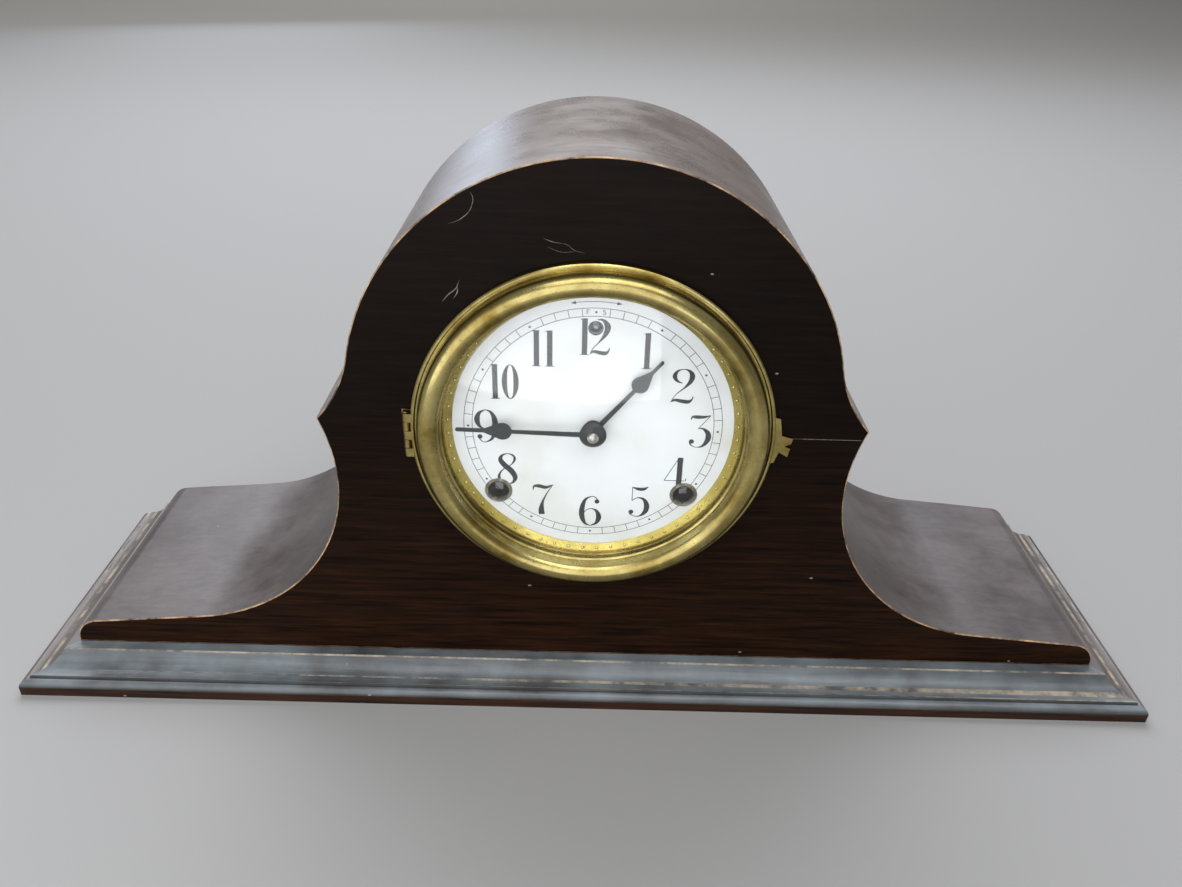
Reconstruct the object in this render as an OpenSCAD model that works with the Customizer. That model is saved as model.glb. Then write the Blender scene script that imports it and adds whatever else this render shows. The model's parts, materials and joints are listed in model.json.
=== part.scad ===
// Tambour mantel clock: a low arched case with swept wings, a hinged brass
// bezel over a white dial, and an eight-day time-and-strike movement.
// Millimetres. X is to the right, the front faces -Y, Z is up, and the origin
// is under the middle of the base. Depths are counted back from the case face,
// and movement places are counted from the centre of the dial.

/* [Case] */
// Width of the front face where it meets the base
case_w = 490.2; // [470:1:560]
// Depth of the case from face to back edge
case_depth = 117; // [110:1:150]
// Radius of the arch over the dial
arch_r = 102.5; // [98:0.5:112]
// Height of the arch centre above the table
arch_z = 149.7; // [146:0.5:156]
// Angle above horizontal at which the arch turns into the flank
arch_end = 11.8; // [8:0.2:16]
// Radius of the hollow flank below the arch
flank_r = 58.5; // [50:0.5:70]
// Height of the sharp cusp between flank and wing
cusp_z = 142; // [138:0.5:146]
// Radius of the hollow sweep down to the wing
sweep_r = 80.9; // [72:0.5:90]
// Fall of the wing towards its end, in degrees
wing_slope = 5.1; // [2:0.1:8]
// Height of the wing just before its rounded end
wing_h = 27.8; // [26.4:0.2:34]
// Radius of the rounded wing end
nose_r = 11; // [8:0.5:12]
// Thickness of the bent outer skin
skin_t = 4; // [3:0.5:6]
// Thickness of the front board
front_t = 14; // [12:1:18]
// Height of the glue joint in the front board
glue_z = 138; // [130:1:141]
// Thickness of the back board
back_t = 6; // [4:0.5:8]
// How far the back board is set in from the back edge
back_inset = 4; // [3.5:0.5:8]

/* [Base] */
// Height of the base under the case
base_h = 15.2; // [14:0.2:20]
// How far the base stands out at the front and sides
base_out = 21.5; // [19:0.5:30]
// How far the base stands out behind the case
base_back = 1.5; // [1.5:0.5:4]
// Height of the plain band at the foot of the moulding
band_h = 4.4; // [3:0.2:6]
// Radius of the bull-nose above the band
bull_r = 3.2; // [2:0.2:3.4]
// Width of the flat ledge on top of the moulding
ledge_w = 5.5; // [4:0.5:8]
// Radius of the cove between ledge and bull-nose
cove_r = 11; // [10:0.5:16]

/* [Back door] */
// Width of the opening behind the movement
door_w = 150; // [120:2:156]
// Height of the opening behind the movement
door_h = 120; // [90:2:124]
// Height of the opening's lower edge
door_z = 40; // [34:1:44]
// Thickness of the door
door_t = 5; // [4:0.5:6]
// Gap round the door
door_gap = 0.6; // [0.5:0.1:1.5]

/* [Dial and bezel] */
// Height of the dial centre
dial_z = 137.3; // [136:0.1:139]
// Width of the bezel outside the glass
bezel_w = 12; // [11:0.5:16]
// Radius of the glass
glass_r = 64; // [62:0.2:64.4]
// Height of the glass dome
glass_rise = 10; // [6:0.5:11]
// Thickness of the glass
glass_t = 2; // [1.6:0.1:2.2]
// Width of the reflector ring inside the edge of the glass
reflector_w = 4.5; // [3:0.5:6]
// Depth of the dial's front behind the case face
dial_y = 6.2; // [6:0.1:6.6]
// Thickness of the dial plate
dial_t = 0.8; // [0.6:0.1:1]
// Angle of each winding hole below the centre
winding_angle = 38.35; // [36:0.05:41]
// Gap between the winding hole ferrules and the reflector ring
winding_gap = 1.5; // [1:0.1:3]
// Height of the regulating hole above the centre
regulator_up = 46; // [45:0.5:47]

/* [Hands] */
// Gap between the tip of the minute hand and the reflector ring
minute_gap = 2; // [1.5:0.5:6]
// How much shorter the hour hand is than the minute hand
hour_short = 14; // [12:0.5:18]
// Thickness of the hands
hand_t = 0.6; // [0.4:0.1:0.8]
// Clockwise angle of the minute hand at rest
minute_at = 271.3; // [0:0.1:360]
// Clockwise angle of the hour hand at rest
hour_at = 39.5; // [0:0.1:360]

/* [Movement] */
// Gap between the two plates
plate_gap = 33.5; // [33:0.5:38]
// Thickness of each plate
plate_t = 1.5; // [1.2:0.1:2]
// Depth of the front plate behind the case face
plate_y = 20; // [19:0.5:22]
// Module of the great wheel's teeth
great_m = 0.66; // [0.64:0.01:0.68]
// Thickness of the great wheels
great_t = 2; // [1.6:0.1:2.2]
// Radius of an unwound mainspring
spring_r = 23.5; // [20:0.5:24]
// Width of a mainspring
spring_w = 18; // [14:0.5:18]
// Length of the pendulum from its pivot to the middle of the bob
pendulum_len = 127; // [110:1:130]
// Radius of the pendulum bob
bob_r = 18; // [14:0.5:20]
// Outer radius of the gong coil
gong_r = 48; // [40:1:50]
// Radius of the gong rod
gong_wire = 1.6; // [1.2:0.1:2]

/* [Fits] */
// Radial clearance of a turning shaft in its hole
run_fit = 0.05; // [0.02:0.01:0.08]
// Clearance between parts that pass each other
pass_gap = 0.4; // [0.3:0.05:0.5]

/* [Hidden] */
$fn = 96;

// Finishes
dark_wood = [0.16, 0.11, 0.09];
raw_wood = [0.45, 0.33, 0.20];
brass = [0.72, 0.60, 0.32];
steel = [0.55, 0.56, 0.58];
blued = [0.16, 0.18, 0.20];
iron = [0.14, 0.14, 0.15];
dial_white = [0.90, 0.92, 0.90];
glass = [0.85, 0.92, 0.92, 0.3];

// Main places
half_w = case_w / 2;
bezel_r = glass_r + bezel_w;
dial_r = glass_r - reflector_w;
minute_len = dial_r - minute_gap;
hour_len = minute_len - hour_short;
ferrule_r = 6.1;
winding_reach = dial_r - ferrule_r - winding_gap;
winding_x = winding_reach * cos(winding_angle);
winding_drop = winding_reach * sin(winding_angle);
depth_all = base_out + case_depth + base_back;
face_y = base_out - depth_all / 2;
back_y = case_depth - back_inset - back_t;
board_back = case_depth - back_inset;
seat_y = dial_y + dial_t;
far = 400;

// Glue blocks and the screws that hold the base to them
block = 14;
block_h = 7;
screw_r = 2;
screw_head_r = 4;
screw_sink = 5;
screw_bite = 4;

function dir(a) = [cos(a), sin(a)];
function arc(c, r, a0, a1, n) = [for (i = [0 : n]) c + r * dir(a0 + (a1 - a0) * i / n)];
// Where two circles meet, on the left of the line from the first to the second
function meet(c0, r0, c1, r1) =
    let (v = c1 - c0, d = norm(v), a = (r0 * r0 - r1 * r1 + d * d) / (2 * d))
    c0 + v / d * a + [-v.y, v.x] / d * sqrt(max(0, r0 * r0 - a * a));
// Centre of an arc of radius r through p and q, on the left of p to q
function arc_centre(p, q, r) =
    let (v = q - p) (p + q) / 2 + [-v.y, v.x] / norm(v) * sqrt(r * r - v * v / 4);

// Case outline, right half, as tangent arcs about these centres
arch_c = [0, arch_z];
flank_c = arch_c + (arch_r + flank_r) * dir(arch_end);
cusp = [flank_c.x - sqrt(flank_r * flank_r - pow(cusp_z - flank_c.y, 2)), cusp_z];
slope_n = dir(90 - wing_slope);
slope_u = dir(-wing_slope);
nose_top = [half_w - nose_r + nose_r * slope_n.x, wing_h];
nose_c = nose_top - nose_r * slope_n;
sweep_line = nose_top + sweep_r * slope_n;
cusp_off = sweep_line - cusp;
sweep_t = sqrt(pow(cusp_off * slope_u, 2) - cusp_off * cusp_off + sweep_r * sweep_r)
    - cusp_off * slope_u;
sweep_c = sweep_line + sweep_t * slope_u;
inner_cusp = meet(sweep_c, sweep_r + skin_t, flank_c, flank_r + skin_t);
mitre_in = cusp + 3 * (inner_cusp - cusp);

// Upright outlines drawn in X and Z, made solid between two depths
module upright(y0, y1) {
    translate([0, y1, 0]) rotate([90, 0, 0]) linear_extrude(y1 - y0) children();
}
module rod(r, y0, y1, at = [0, 0]) {
    translate([at.x, y1, at.y]) rotate([90, 0, 0]) cylinder(r = r, h = y1 - y0);
}
module tube(r_out, r_in, y0, y1, at = [0, 0]) {
    difference() {
        rod(r_out, y0, y1, at);
        rod(r_in, y0 - 1, y1 + 1, at);
    }
}
// A ring turned about the dial axis from points of radius and depth
module turned(points) {
    rotate([90, 0, 0]) rotate_extrude() polygon([for (p = points) [p.x, -p.y]]);
}
module at_face() { translate([0, face_y, 0]) children(); }
module at_dial() { translate([0, face_y, dial_z]) children(); }

// Case

module half_outline(inset) {
    nose = nose_r - inset;
    difference() {
        union() {
            polygon([
                [0, base_h], [nose_c.x + nose, base_h], [nose_c.x + nose, nose_c.y],
                nose_c + nose * slope_n, sweep_c - (sweep_r + inset) * slope_n,
                sweep_c, flank_c, arch_c
            ]);
            translate(nose_c) circle(nose);
        }
        translate([0, base_h - far]) square(far);
        translate(flank_c) circle(flank_r + inset);
        translate(sweep_c) circle(sweep_r + inset);
    }
}
module outline(inset) {
    half_outline(inset);
    mirror([1, 0]) half_outline(inset);
    difference() {
        translate(arch_c) circle(arch_r - inset);
        translate([-far, arch_z - 2 * arch_r]) square([2 * far, 2 * arch_r - 1]);
    }
}
module arch_wedge() {
    polygon([
        arch_c, flank_c, [flank_c.x, far], [-flank_c.x, far], [-flank_c.x, flank_c.y]
    ]);
}
module flank_wedge() { polygon([flank_c, cusp, mitre_in, arch_c]); }
module wing_wedge() {
    polygon([
        sweep_c, cusp, mitre_in, [mitre_in.x, base_h], [half_w + 1, base_h],
        [half_w + 1, sweep_c.y]
    ]);
}
module arch_part() {
    difference() {
        translate(arch_c) circle(arch_r);
        translate(arch_c) circle(arch_r - skin_t);
    }
}
module flank_part() {
    difference() {
        translate(flank_c) circle(flank_r + skin_t);
        translate(flank_c) circle(flank_r);
    }
}
module wing_part() {
    difference() {
        half_outline(0);
        half_outline(skin_t);
    }
}
module arch_skin() {
    color(dark_wood) at_face() upright(front_t, case_depth) intersection() {
        arch_part();
        arch_wedge();
    }
}
module flank_skin() {
    color(dark_wood) at_face() upright(front_t, case_depth) intersection() {
        flank_part();
        flank_wedge();
    }
}
module wing_skin() {
    color(dark_wood) at_face() upright(front_t, case_depth) intersection() {
        wing_part();
        wing_wedge();
    }
}
module left_flank_skin() { mirror([1, 0, 0]) flank_skin(); }
module right_flank_skin() { flank_skin(); }
module left_wing_skin() { mirror([1, 0, 0]) wing_skin(); }
module right_wing_skin() { wing_skin(); }

// Back door, on two butt hinges, locked by a turn button
door_hinge_r = 1.5;
door_hinge_y = board_back + door_hinge_r + 0.2;
door_hinge_x = -door_w / 2;
door_hinge_len = 24;
door_leaf_w = 12;
door_leaf_t = 0.8;
door_pin_r = 0.7;
door_hinge_z = [door_z + 24, door_z + door_h - 24];
button_len = 16;
button_half = 3;
button_pin_r = 1.5;
button_at = [door_w / 2 + button_half + 3, door_z + door_h / 2];
// Front board, in two pieces glued edge to edge, rebated for the dial
bezel_hole_r = glass_r + 3;
dial_seat_r = dial_r + 1.5;
leaf_t = 0.5;
hinge_r = 1.35;
hinge_x = -(bezel_r + hinge_r + 0.25);
hinge_y = -1.9;
hinge_len = 20.5;
hinge_mid = -0.7;
leaf_in = -hinge_x - bezel_hole_r;
foot_at = [[-56, 40], [56, 40], [-62, -48], [62, -48]];
foot_screw_r = 1.4;
foot_bite = 9;
module front_cuts() {
    at_dial() {
        rod(bezel_hole_r, -1, seat_y);
        rod(dial_seat_r, -1, front_t + 1);
        translate([hinge_x - hinge_r, -1, hinge_mid - hinge_len / 2 - 0.1])
            cube([leaf_in + hinge_r + 1, leaf_t + 1, hinge_len + 0.2]);
        for (p = foot_at) rod(foot_screw_r, front_t - foot_bite, front_t + 1, p);
    }
}
module front_board_upper() {
    color(dark_wood) difference() {
        at_face() upright(0, front_t) intersection() {
            outline(0);
            translate([-far, glue_z]) square([2 * far, far]);
        }
        front_cuts();
    }
}
module front_board_lower() {
    color(dark_wood) difference() {
        at_face() upright(0, front_t) intersection() {
            outline(0);
            translate([-far, glue_z - far]) square([2 * far, far]);
        }
        front_cuts();
    }
}
module back_board() {
    color(raw_wood) at_face() upright(back_y, board_back) difference() {
        outline(skin_t);
        translate([-door_w / 2, door_z]) square([door_w, door_h]);
        translate(button_at) circle(button_pin_r);
    }
}
module corner_blocks() {
    color(raw_wood) difference() {
        base_screw_places() translate([-block / 2, -block / 2, base_h])
            cube([block, block, block_h]);
        base_screw_places() cylinder(r = screw_r, h = base_h + screw_bite);
    }
}

// Base: a plain board with a mitred moulding on three sides
module base_board() {
    color(dark_wood) difference() {
        translate([-half_w, face_y, 0]) cube([case_w, case_depth + base_back, base_h]);
        base_screw_places() {
            translate([0, 0, -1]) cylinder(r = screw_r, h = base_h + 2);
            translate([0, 0, -1]) cylinder(r = screw_head_r + 0.5, h = screw_sink + 1);
        }
    }
}
cove_top = [ledge_w, base_h - 0.7];
cove_foot = [base_out - bull_r - 1.1, band_h + bull_r + 1];
cove_c = arc_centre(cove_top, cove_foot, cove_r);
bull_c = [base_out - bull_r, band_h];
module moulding_profile() {
    difference() {
        polygon([
            [0, 0], [base_out, 0], [base_out, band_h], bull_c, bull_c + [0, bull_r],
            cove_foot + [0.4, -1.5], cove_foot, cove_top, [ledge_w - 0.5, base_h],
            [0, base_h]
        ]);
        translate(cove_c) circle(cove_r);
    }
    intersection() {
        translate(bull_c) circle(bull_r);
        translate(bull_c) square(bull_r);
    }
}
// The mitre seen from above, for the front length
module front_mitre() {
    out = half_w + base_out;
    translate([0, 0, -1]) linear_extrude(base_h + 2) polygon([
        [-half_w, face_y], [-out, face_y - base_out], [out, face_y - base_out],
        [half_w, face_y]
    ]);
}
module side_mitre() {
    out = half_w + base_out;
    back = face_y + case_depth + base_back;
    translate([0, 0, -1]) linear_extrude(base_h + 2) polygon([
        [half_w, face_y], [out, face_y - base_out], [out, back], [half_w, back]
    ]);
}
module base_moulding_front() {
    color(dark_wood) intersection() {
        translate([-half_w - base_out, face_y, 0]) rotate([90, 0, 90])
            linear_extrude(case_w + 2 * base_out) mirror([1, 0]) moulding_profile();
        front_mitre();
    }
}
module side_moulding() {
    color(dark_wood) intersection() {
        translate([half_w, face_y + case_depth + base_back, 0]) rotate([90, 0, 0])
            linear_extrude(depth_all) moulding_profile();
        side_mitre();
    }
}
module base_moulding_right() { side_moulding(); }
module base_moulding_left() { mirror([1, 0, 0]) side_moulding(); }

module base_screw_places() {
    for (x = [-200, -120, 120, 200]) for (y = [front_t + block / 2, back_y - block / 2])
        translate([x, face_y + y, 0]) children();
}
module base_screws() {
    color(steel) base_screw_places() {
        translate([0, 0, screw_sink - 2]) cylinder(r = screw_head_r, h = 2);
        translate([0, 0, screw_sink])
            cylinder(r = screw_r - 0.1, h = base_h + screw_bite - 0.5 - screw_sink);
    }
}

// Back door
module back_door() {
    color(raw_wood) at_face()
        translate([-door_w / 2 + door_gap, board_back - door_t, door_z + door_gap])
            cube([door_w - 2 * door_gap, door_t, door_h - 2 * door_gap]);
}
// One hinge's knuckles: those counted from first in steps of two
module door_knuckles(first, z) {
    step = door_hinge_len / 3;
    for (i = [first : 2 : 2])
        translate([door_hinge_x, door_hinge_y, z - door_hinge_len / 2 + i * step + 0.1])
            cylinder(r = door_hinge_r, h = step - 0.2);
}
module door_leaf(side, z) {
    translate([door_hinge_x + (side < 0 ? -door_leaf_w : 0.4), board_back, z - door_hinge_len / 2])
        cube([door_leaf_w - 0.4, door_leaf_t, door_hinge_len]);
}
module door_hinge_case_leaves() {
    color(brass) at_face() for (z = door_hinge_z) difference() {
        union() {
            door_knuckles(0, z);
            difference() {
                door_leaf(-1, z);
                translate([door_hinge_x, door_hinge_y, z - door_hinge_len / 6 - 0.1])
                    cylinder(r = door_hinge_r + pass_gap, h = door_hinge_len / 3 + 0.2);
            }
        }
        translate([door_hinge_x, door_hinge_y, z - door_hinge_len])
            cylinder(r = door_pin_r, h = 2 * door_hinge_len);
    }
    color(steel) at_face() for (z = door_hinge_z)
        translate([door_hinge_x, door_hinge_y, z - door_hinge_len / 2])
            cylinder(r = door_pin_r, h = door_hinge_len);
}
module door_hinge_door_leaves() {
    color(brass) at_face() for (z = door_hinge_z) difference() {
        union() {
            door_knuckles(1, z);
            difference() {
                door_leaf(1, z);
                for (end = [-1, 1])
                    translate([door_hinge_x, door_hinge_y, z + end * door_hinge_len / 3
                        - door_hinge_len / 6 - 0.1])
                        cylinder(r = door_hinge_r + pass_gap, h = door_hinge_len / 3 + 0.2);
            }
        }
        translate([door_hinge_x, door_hinge_y, z - door_hinge_len])
            cylinder(r = door_pin_r + run_fit, h = 2 * door_hinge_len);
    }
}
// Upright when the door is free, turned level to hold it shut
module door_turn_button() {
    grip = button_len - button_half;
    color(brass) at_face() {
        upright(board_back + 0.3, board_back + 2.3) translate(button_at) union() {
            translate([-button_half, -grip]) square([2 * button_half, 2 * grip]);
            for (end = [-1, 1]) translate([0, end * grip]) circle(button_half);
        }
        rod(button_pin_r - run_fit, back_y + 0.5, board_back + 0.3, button_at);
    }
}

// Bezel: a spun ring with an outer lip and a rounded crest, hinged at nine o'clock
in_r = glass_r + 0.15;
sleeve_r = in_r + 1.6;
sleeve_back = 3.4;
crest_r = 4.9;
crest_at = [in_r + 4.25, -4.6];
bezel_wall = 0.9;
glass_y = -1.2;
pin_r = 0.6;
knuckle = hinge_len / 5;
latch_t = 0.6;
module crest(r) {
    rotate([90, 0, 0]) rotate_extrude() translate([crest_at.x, -crest_at.y]) circle(r);
}
module hinge_knuckle(i, r) {
    translate([hinge_x, hinge_y, hinge_mid - hinge_len / 2 + i * knuckle + 0.1])
        cylinder(r = r, h = knuckle - 0.2);
}
module bezel_ring() {
    color(brass) at_dial() difference() {
        union() {
            difference() {
                crest(crest_r);
                rod(in_r, -20, 20);
                crest(crest_r - bezel_wall);
                rod(200, -0.3, 20);
            }
            turned([
                [in_r, -7.2], [in_r, sleeve_back], [sleeve_r, sleeve_back],
                [sleeve_r, -0.3], [sleeve_r, -5], [in_r + 0.9, -7.4]
            ]);
            turned([
                [in_r + 7.2, -0.3], [bezel_r, -0.3], [bezel_r, -2.7], [bezel_r - 0.5, -3.1],
                [bezel_r - 1.3, -3.1], [bezel_r - 1.8, -1.9], [in_r + 8.4, -1.9],
                [in_r + 8.4, -2.6], [in_r + 7.2, -2.6]
            ]);
            // bead that the glass rests against
            turned([
                [in_r, glass_y - 0.9], [in_r - 0.8, glass_y - 0.5],
                [in_r - 0.8, glass_y - 0.35], [in_r, glass_y]
            ]);
            for (i = [0, 2, 4]) {
                hinge_knuckle(i, hinge_r);
                translate([hinge_x, hinge_y - hinge_r, hinge_mid - hinge_len / 2
                    + i * knuckle + 0.1])
                    cube([hinge_r + 1.2, 1, knuckle - 0.2]);
            }
        }
        translate([hinge_x, hinge_y, hinge_mid - hinge_len])
            cylinder(r = pin_r + run_fit, h = 2 * hinge_len);
    }
}
module bezel_hinge_leaf() {
    color(brass) at_dial() difference() {
        union() {
            translate([hinge_x - hinge_r, 0, hinge_mid - hinge_len / 2])
                cube([leaf_in + hinge_r - 0.2, leaf_t, hinge_len]);
            for (i = [1, 3]) {
                hinge_knuckle(i, hinge_r);
                translate([hinge_x - hinge_r, hinge_y, hinge_mid - hinge_len / 2
                    + i * knuckle + 0.1])
                    cube([hinge_r, leaf_t - hinge_y, knuckle - 0.2]);
            }
        }
        translate([hinge_x, hinge_y, hinge_mid - hinge_len])
            cylinder(r = pin_r, h = 2 * hinge_len);
    }
}
module bezel_hinge_pin() {
    color(brass) at_dial() translate([hinge_x, hinge_y, hinge_mid - hinge_len / 2 - 0.4]) {
        cylinder(r = pin_r, h = hinge_len + 0.8);
        translate([0, 0, hinge_len + 0.6]) cylinder(r = hinge_r - 0.3, h = 0.6);
    }
}
module bezel_latch_tab() {
    color(brass) at_dial() upright(-0.5 - latch_t, -0.5) difference() {
        polygon(concat(
            arc([0, 0], bezel_r - 2, -9, 9, 8),
            [
                [bezel_r + 1.6, 10.5], [bezel_r + 3, 2.5], [bezel_r + 7.8, 1.2],
                [bezel_r + 7.4, -1.2], [bezel_r + 4.6, -2.6], [bezel_r + 7.2, -3.6],
                [bezel_r + 6.4, -7.6], [bezel_r + 2.6, -5.4], [bezel_r + 1, -10.5]
            ]
        ));
        circle(bezel_r);
    }
}
glass_ball = (glass_r * glass_r + glass_rise * glass_rise) / (2 * glass_rise);
module bezel_glass() {
    color(glass) at_dial() intersection() {
        rod(glass_r, glass_y - glass_rise - 5, glass_y + glass_t + 2);
        translate([0, glass_y - glass_rise + glass_ball, 0]) difference() {
            sphere(glass_ball, $fn = 180);
            sphere(glass_ball - glass_t, $fn = 180);
        }
    }
}
glass_back = glass_y + glass_t + 0.2;
module glass_retainer() {
    color(brass) at_dial() tube(in_r, glass_r - 1.6, glass_back, glass_back + 0.9);
}
// Spring clip in the hole's edge that the bezel's sleeve snaps behind
module bezel_catch() {
    color(brass) at_dial() intersection() {
        tube(bezel_hole_r, bezel_hole_r - 0.6, 0.2, dial_y - 2.6);
        translate([0, 0, -5]) cube([far, far, 10]);
    }
}

// Dial
reflector_top = sleeve_back + 0.55;
reflector_r = bezel_hole_r - 0.3;
winding_at = [winding_x, -winding_drop];
ferrule_bore = 4.7;
ferrule_hole = 5.55;
module reflector_ring() {
    color(brass) at_dial() turned([
        [dial_r, dial_y], [dial_r, dial_y - 0.3], [glass_r + 0.3, reflector_top],
        [reflector_r, reflector_top], [reflector_r, dial_y], [reflector_r - 0.5, dial_y],
        [reflector_r - 0.5, reflector_top + 0.45], [glass_r + 0.5, reflector_top + 0.45],
        [dial_r + 0.5, dial_y]
    ]);
}
module dial_plate() {
    color(dial_white) at_dial() difference() {
        rod(reflector_r, dial_y, seat_y);
        rod(4, dial_y - 1, seat_y + 1);
        for (s = [-1, 1]) rod(ferrule_hole, dial_y - 1, seat_y + 1, [s * winding_x, -winding_drop]);
        rod(2.4, dial_y - 1, seat_y + 1, [0, regulator_up]);
    }
}
module winding_hole_ferrules() {
    color(iron) at_dial() for (s = [-1, 1]) translate([s * winding_x, 0, -winding_drop]) turned([
        [ferrule_bore, dial_y - 0.6], [ferrule_bore + 0.4, dial_y - 0.9],
        [ferrule_r - 0.5, dial_y - 0.7], [ferrule_r, dial_y], [ferrule_hole, dial_y],
        [ferrule_hole, seat_y + 0.6], [ferrule_bore, seat_y + 0.6]
    ]);
}

// Hands, drawn pointing up and turned clockwise
hour_y = 2.6;
minute_y = 0.2;
hub_r = 5.7;
arbor_r = 1.5;
pipe_r = 2.6;
hour_blob = [3.6, 14];
minute_blob = [3.9, 19.7];
hand_stem = 1.9;
hour_tip = 1.4;
minute_tip = 1.7;
// A slender stem, a pear-shaped blob of given radius and distance from the tip, and a blunt tip
module hand_shape(len, pear, stem, tip) {
    blob_r = pear[0];
    blob = len - pear[1];
    point = blob + 2 * blob_r;
    polygon([
        [-stem * 0.6, 0], [-stem * 0.4, blob], [stem * 0.4, blob], [stem * 0.6, 0]
    ]);
    polygon(concat(
        arc([0, blob], blob_r, 148, 392, 30), [[tip / 2, point], [-tip / 2, point]]
    ));
    translate([-tip / 2, point - 1]) square([tip, len - tip / 2 - point + 1]);
    translate([0, len - tip / 2]) circle(tip / 2);
}
module turned_to(angle) { rotate([0, angle, 0]) children(); }
module hour_hand() {
    color(blued) at_dial() turned_to(hour_at) difference() {
        union() {
            upright(hour_y, hour_y + hand_t) hand_shape(hour_len, hour_blob, hand_stem, hour_tip);
            rod(hub_r - 0.6, hour_y, hour_y + hand_t);
        }
        rod(pipe_r, 0, 10);
    }
}
module minute_hand() {
    color(blued) at_dial() turned_to(minute_at) difference() {
        union() {
            upright(minute_y, minute_y + hand_t)
                hand_shape(minute_len, minute_blob, hand_stem, minute_tip);
            turned([
                [0, minute_y - 1.6], [2.6, minute_y - 1.5], [4.6, minute_y - 0.8],
                [hub_r, minute_y + 0.1], [hub_r, minute_y + hand_t], [0, minute_y + hand_t]
            ]);
        }
        rod(arbor_r, -10, 10);
    }
}
module hand_nut() {
    color(steel) at_dial() difference() {
        turned([
            [0, minute_y - 4], [1, minute_y - 3.8], [1.9, minute_y - 3.2],
            [2.4, minute_y - 2.4], [2.4, minute_y - 1.6], [0, minute_y - 1.6]
        ]);
        rod(arbor_r - 0.3, minute_y - 3, 0);
    }
}

// Gears. A wheel has a tooth towards its mate, a pinion has a gap there.
function teeth(n, m, phase, add, ded, tip, root) = [
    for (i = [0 : n - 1], k = [0 : 3])
        let (
            a = phase + 360 / n * (i + [-root, -tip, tip, root][k]),
            r = m * n / 2 + m * [-ded, add, add, -ded][k]
        ) r * dir(a)
];
function wheel_teeth(n, m, towards) = teeth(n, m, towards, 0.8, 1.1, 0.1, 0.27);
function pinion_teeth(n, m, towards) =
    teeth(n, m, towards + 180 / n, 0.65, 1.15, 0.09, 0.17);
function heading(v) = atan2(v.y, v.x);
// A toothed wheel with round openings between hub and rim
module wheel(n, m, towards, y0, t, bore, holes = 5, spoke = 1.6) {
    rim = m * (n / 2 - 1.1) - 2;
    hub = bore + 2.2;
    hole_r = min((rim - hub) / 2, (rim + hub) / 2 * sin(180 / holes) - spoke / 2);
    upright(y0, y0 + t) difference() {
        polygon(wheel_teeth(n, m, towards));
        circle(bore);
        if (hole_r > 1) for (i = [1 : holes])
            translate((rim + hub) / 2 * dir(90 + 360 * i / holes)) circle(hole_r);
    }
}
module pinion(n, m, towards, y0, y1, bore) {
    upright(y0, y1) difference() {
        polygon(pinion_teeth(n, m, towards));
        circle(bore);
    }
}

// Movement frame
inner_y = plate_y + plate_t;
outer_y = inner_y + plate_gap;
rear_y = outer_y + plate_t;
pivot_r = 0.8;
shaft_r = 1.3;
pillar_at = [[-44, 40], [44, 40], [-70, -48], [70, -48]];
pillar_r = 2.2;
great_y = inner_y + 2.5;
second_y = outer_y - 5;
centre_pinion_back = second_y + 2.2;
strike_wheel_y = centre_pinion_back + 0.5;
winding_r = 2.4;
ratchet_r = 9;
wheel_t = 1.2;

// Going train, with each arbor placed where its wheel and pinion mesh
second_m = 0.62;
third_m = 0.55;
escape_m = 0.5;
second_at = meet([0, 0], second_m * 36, winding_at, great_m * 48);
escape_rise = 35.9;
escape_at = [0, escape_rise];
third_at = meet(escape_at, escape_m * 39, [0, 0], third_m * 39);
escape_r = 11.5;
motion_c = 13.2;
cannon_m = motion_c / 24;
hour_m = motion_c / 25;
motion_at = motion_c * dir(225);
verge_at = [0, escape_rise + 15];
hammer_at = [-46, -40];
fly_m = 0.62;
strike_second_at = [-second_at.x, second_at.y];
fly_at = strike_second_at + fly_m * 28 * dir(107);

plate_shape = [
    [-76, -54], [76, -54], [76, -20], [60, 46], [14, 46], [12, 70], [-12, 70], [-14, 46],
    [-60, 46], [-76, -20]
];
module pivot_holes(y0, y1) {
    for (p = [second_at, third_at, escape_at, strike_second_at, fly_at, verge_at])
        rod(pivot_r + run_fit, y0, y1, p);
    for (p = pillar_at) rod(pillar_r - 0.7, y0, y1, p);
    for (s = [-1, 1]) rod(winding_r - 0.3 + run_fit, y0, y1, [s * winding_x, -winding_drop]);
}
module front_plate() {
    color(brass) at_dial() {
        difference() {
            upright(plate_y, inner_y) polygon(plate_shape);
            pivot_holes(plate_y - 1, inner_y + 1);
            rod(arbor_r + run_fit, plate_y - 1, inner_y + 1);
            rod(regulator_r + run_fit, plate_y - 1, inner_y + 1, [0, regulator_up]);
            for (p = foot_at) rod(foot_screw_r + 0.1, plate_y - 1, inner_y + 1, p);
        }
        rod(1.2, motion_y - 1, plate_y, motion_at);
    }
}
module back_plate() {
    color(brass) at_dial() difference() {
        upright(outer_y, rear_y) polygon(plate_shape);
        pivot_holes(outer_y - 1, rear_y + 1);
        rod(pivot_r + run_fit, outer_y - 1, rear_y + 1);
        rod(1.5 + run_fit, outer_y - 1, rear_y + 1, hammer_at);
    }
}
module plate_pillars() {
    color(steel) at_dial() for (p = pillar_at) {
        rod(pillar_r, inner_y, outer_y, p);
        rod(pillar_r - 0.7, plate_y - 1, inner_y, p);
        rod(pillar_r - 0.7, outer_y, rear_y + 3.5, p);
    }
}
module pillar_nuts() {
    color(brass) at_dial() for (p = pillar_at) difference() {
        translate([p.x, rear_y + 2.6, p.y]) rotate([90, 0, 0]) cylinder(r = 3.6, h = 2.6, $fn = 6);
        rod(pillar_r - 0.7, rear_y - 1, rear_y + 4, p);
    }
}
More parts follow.
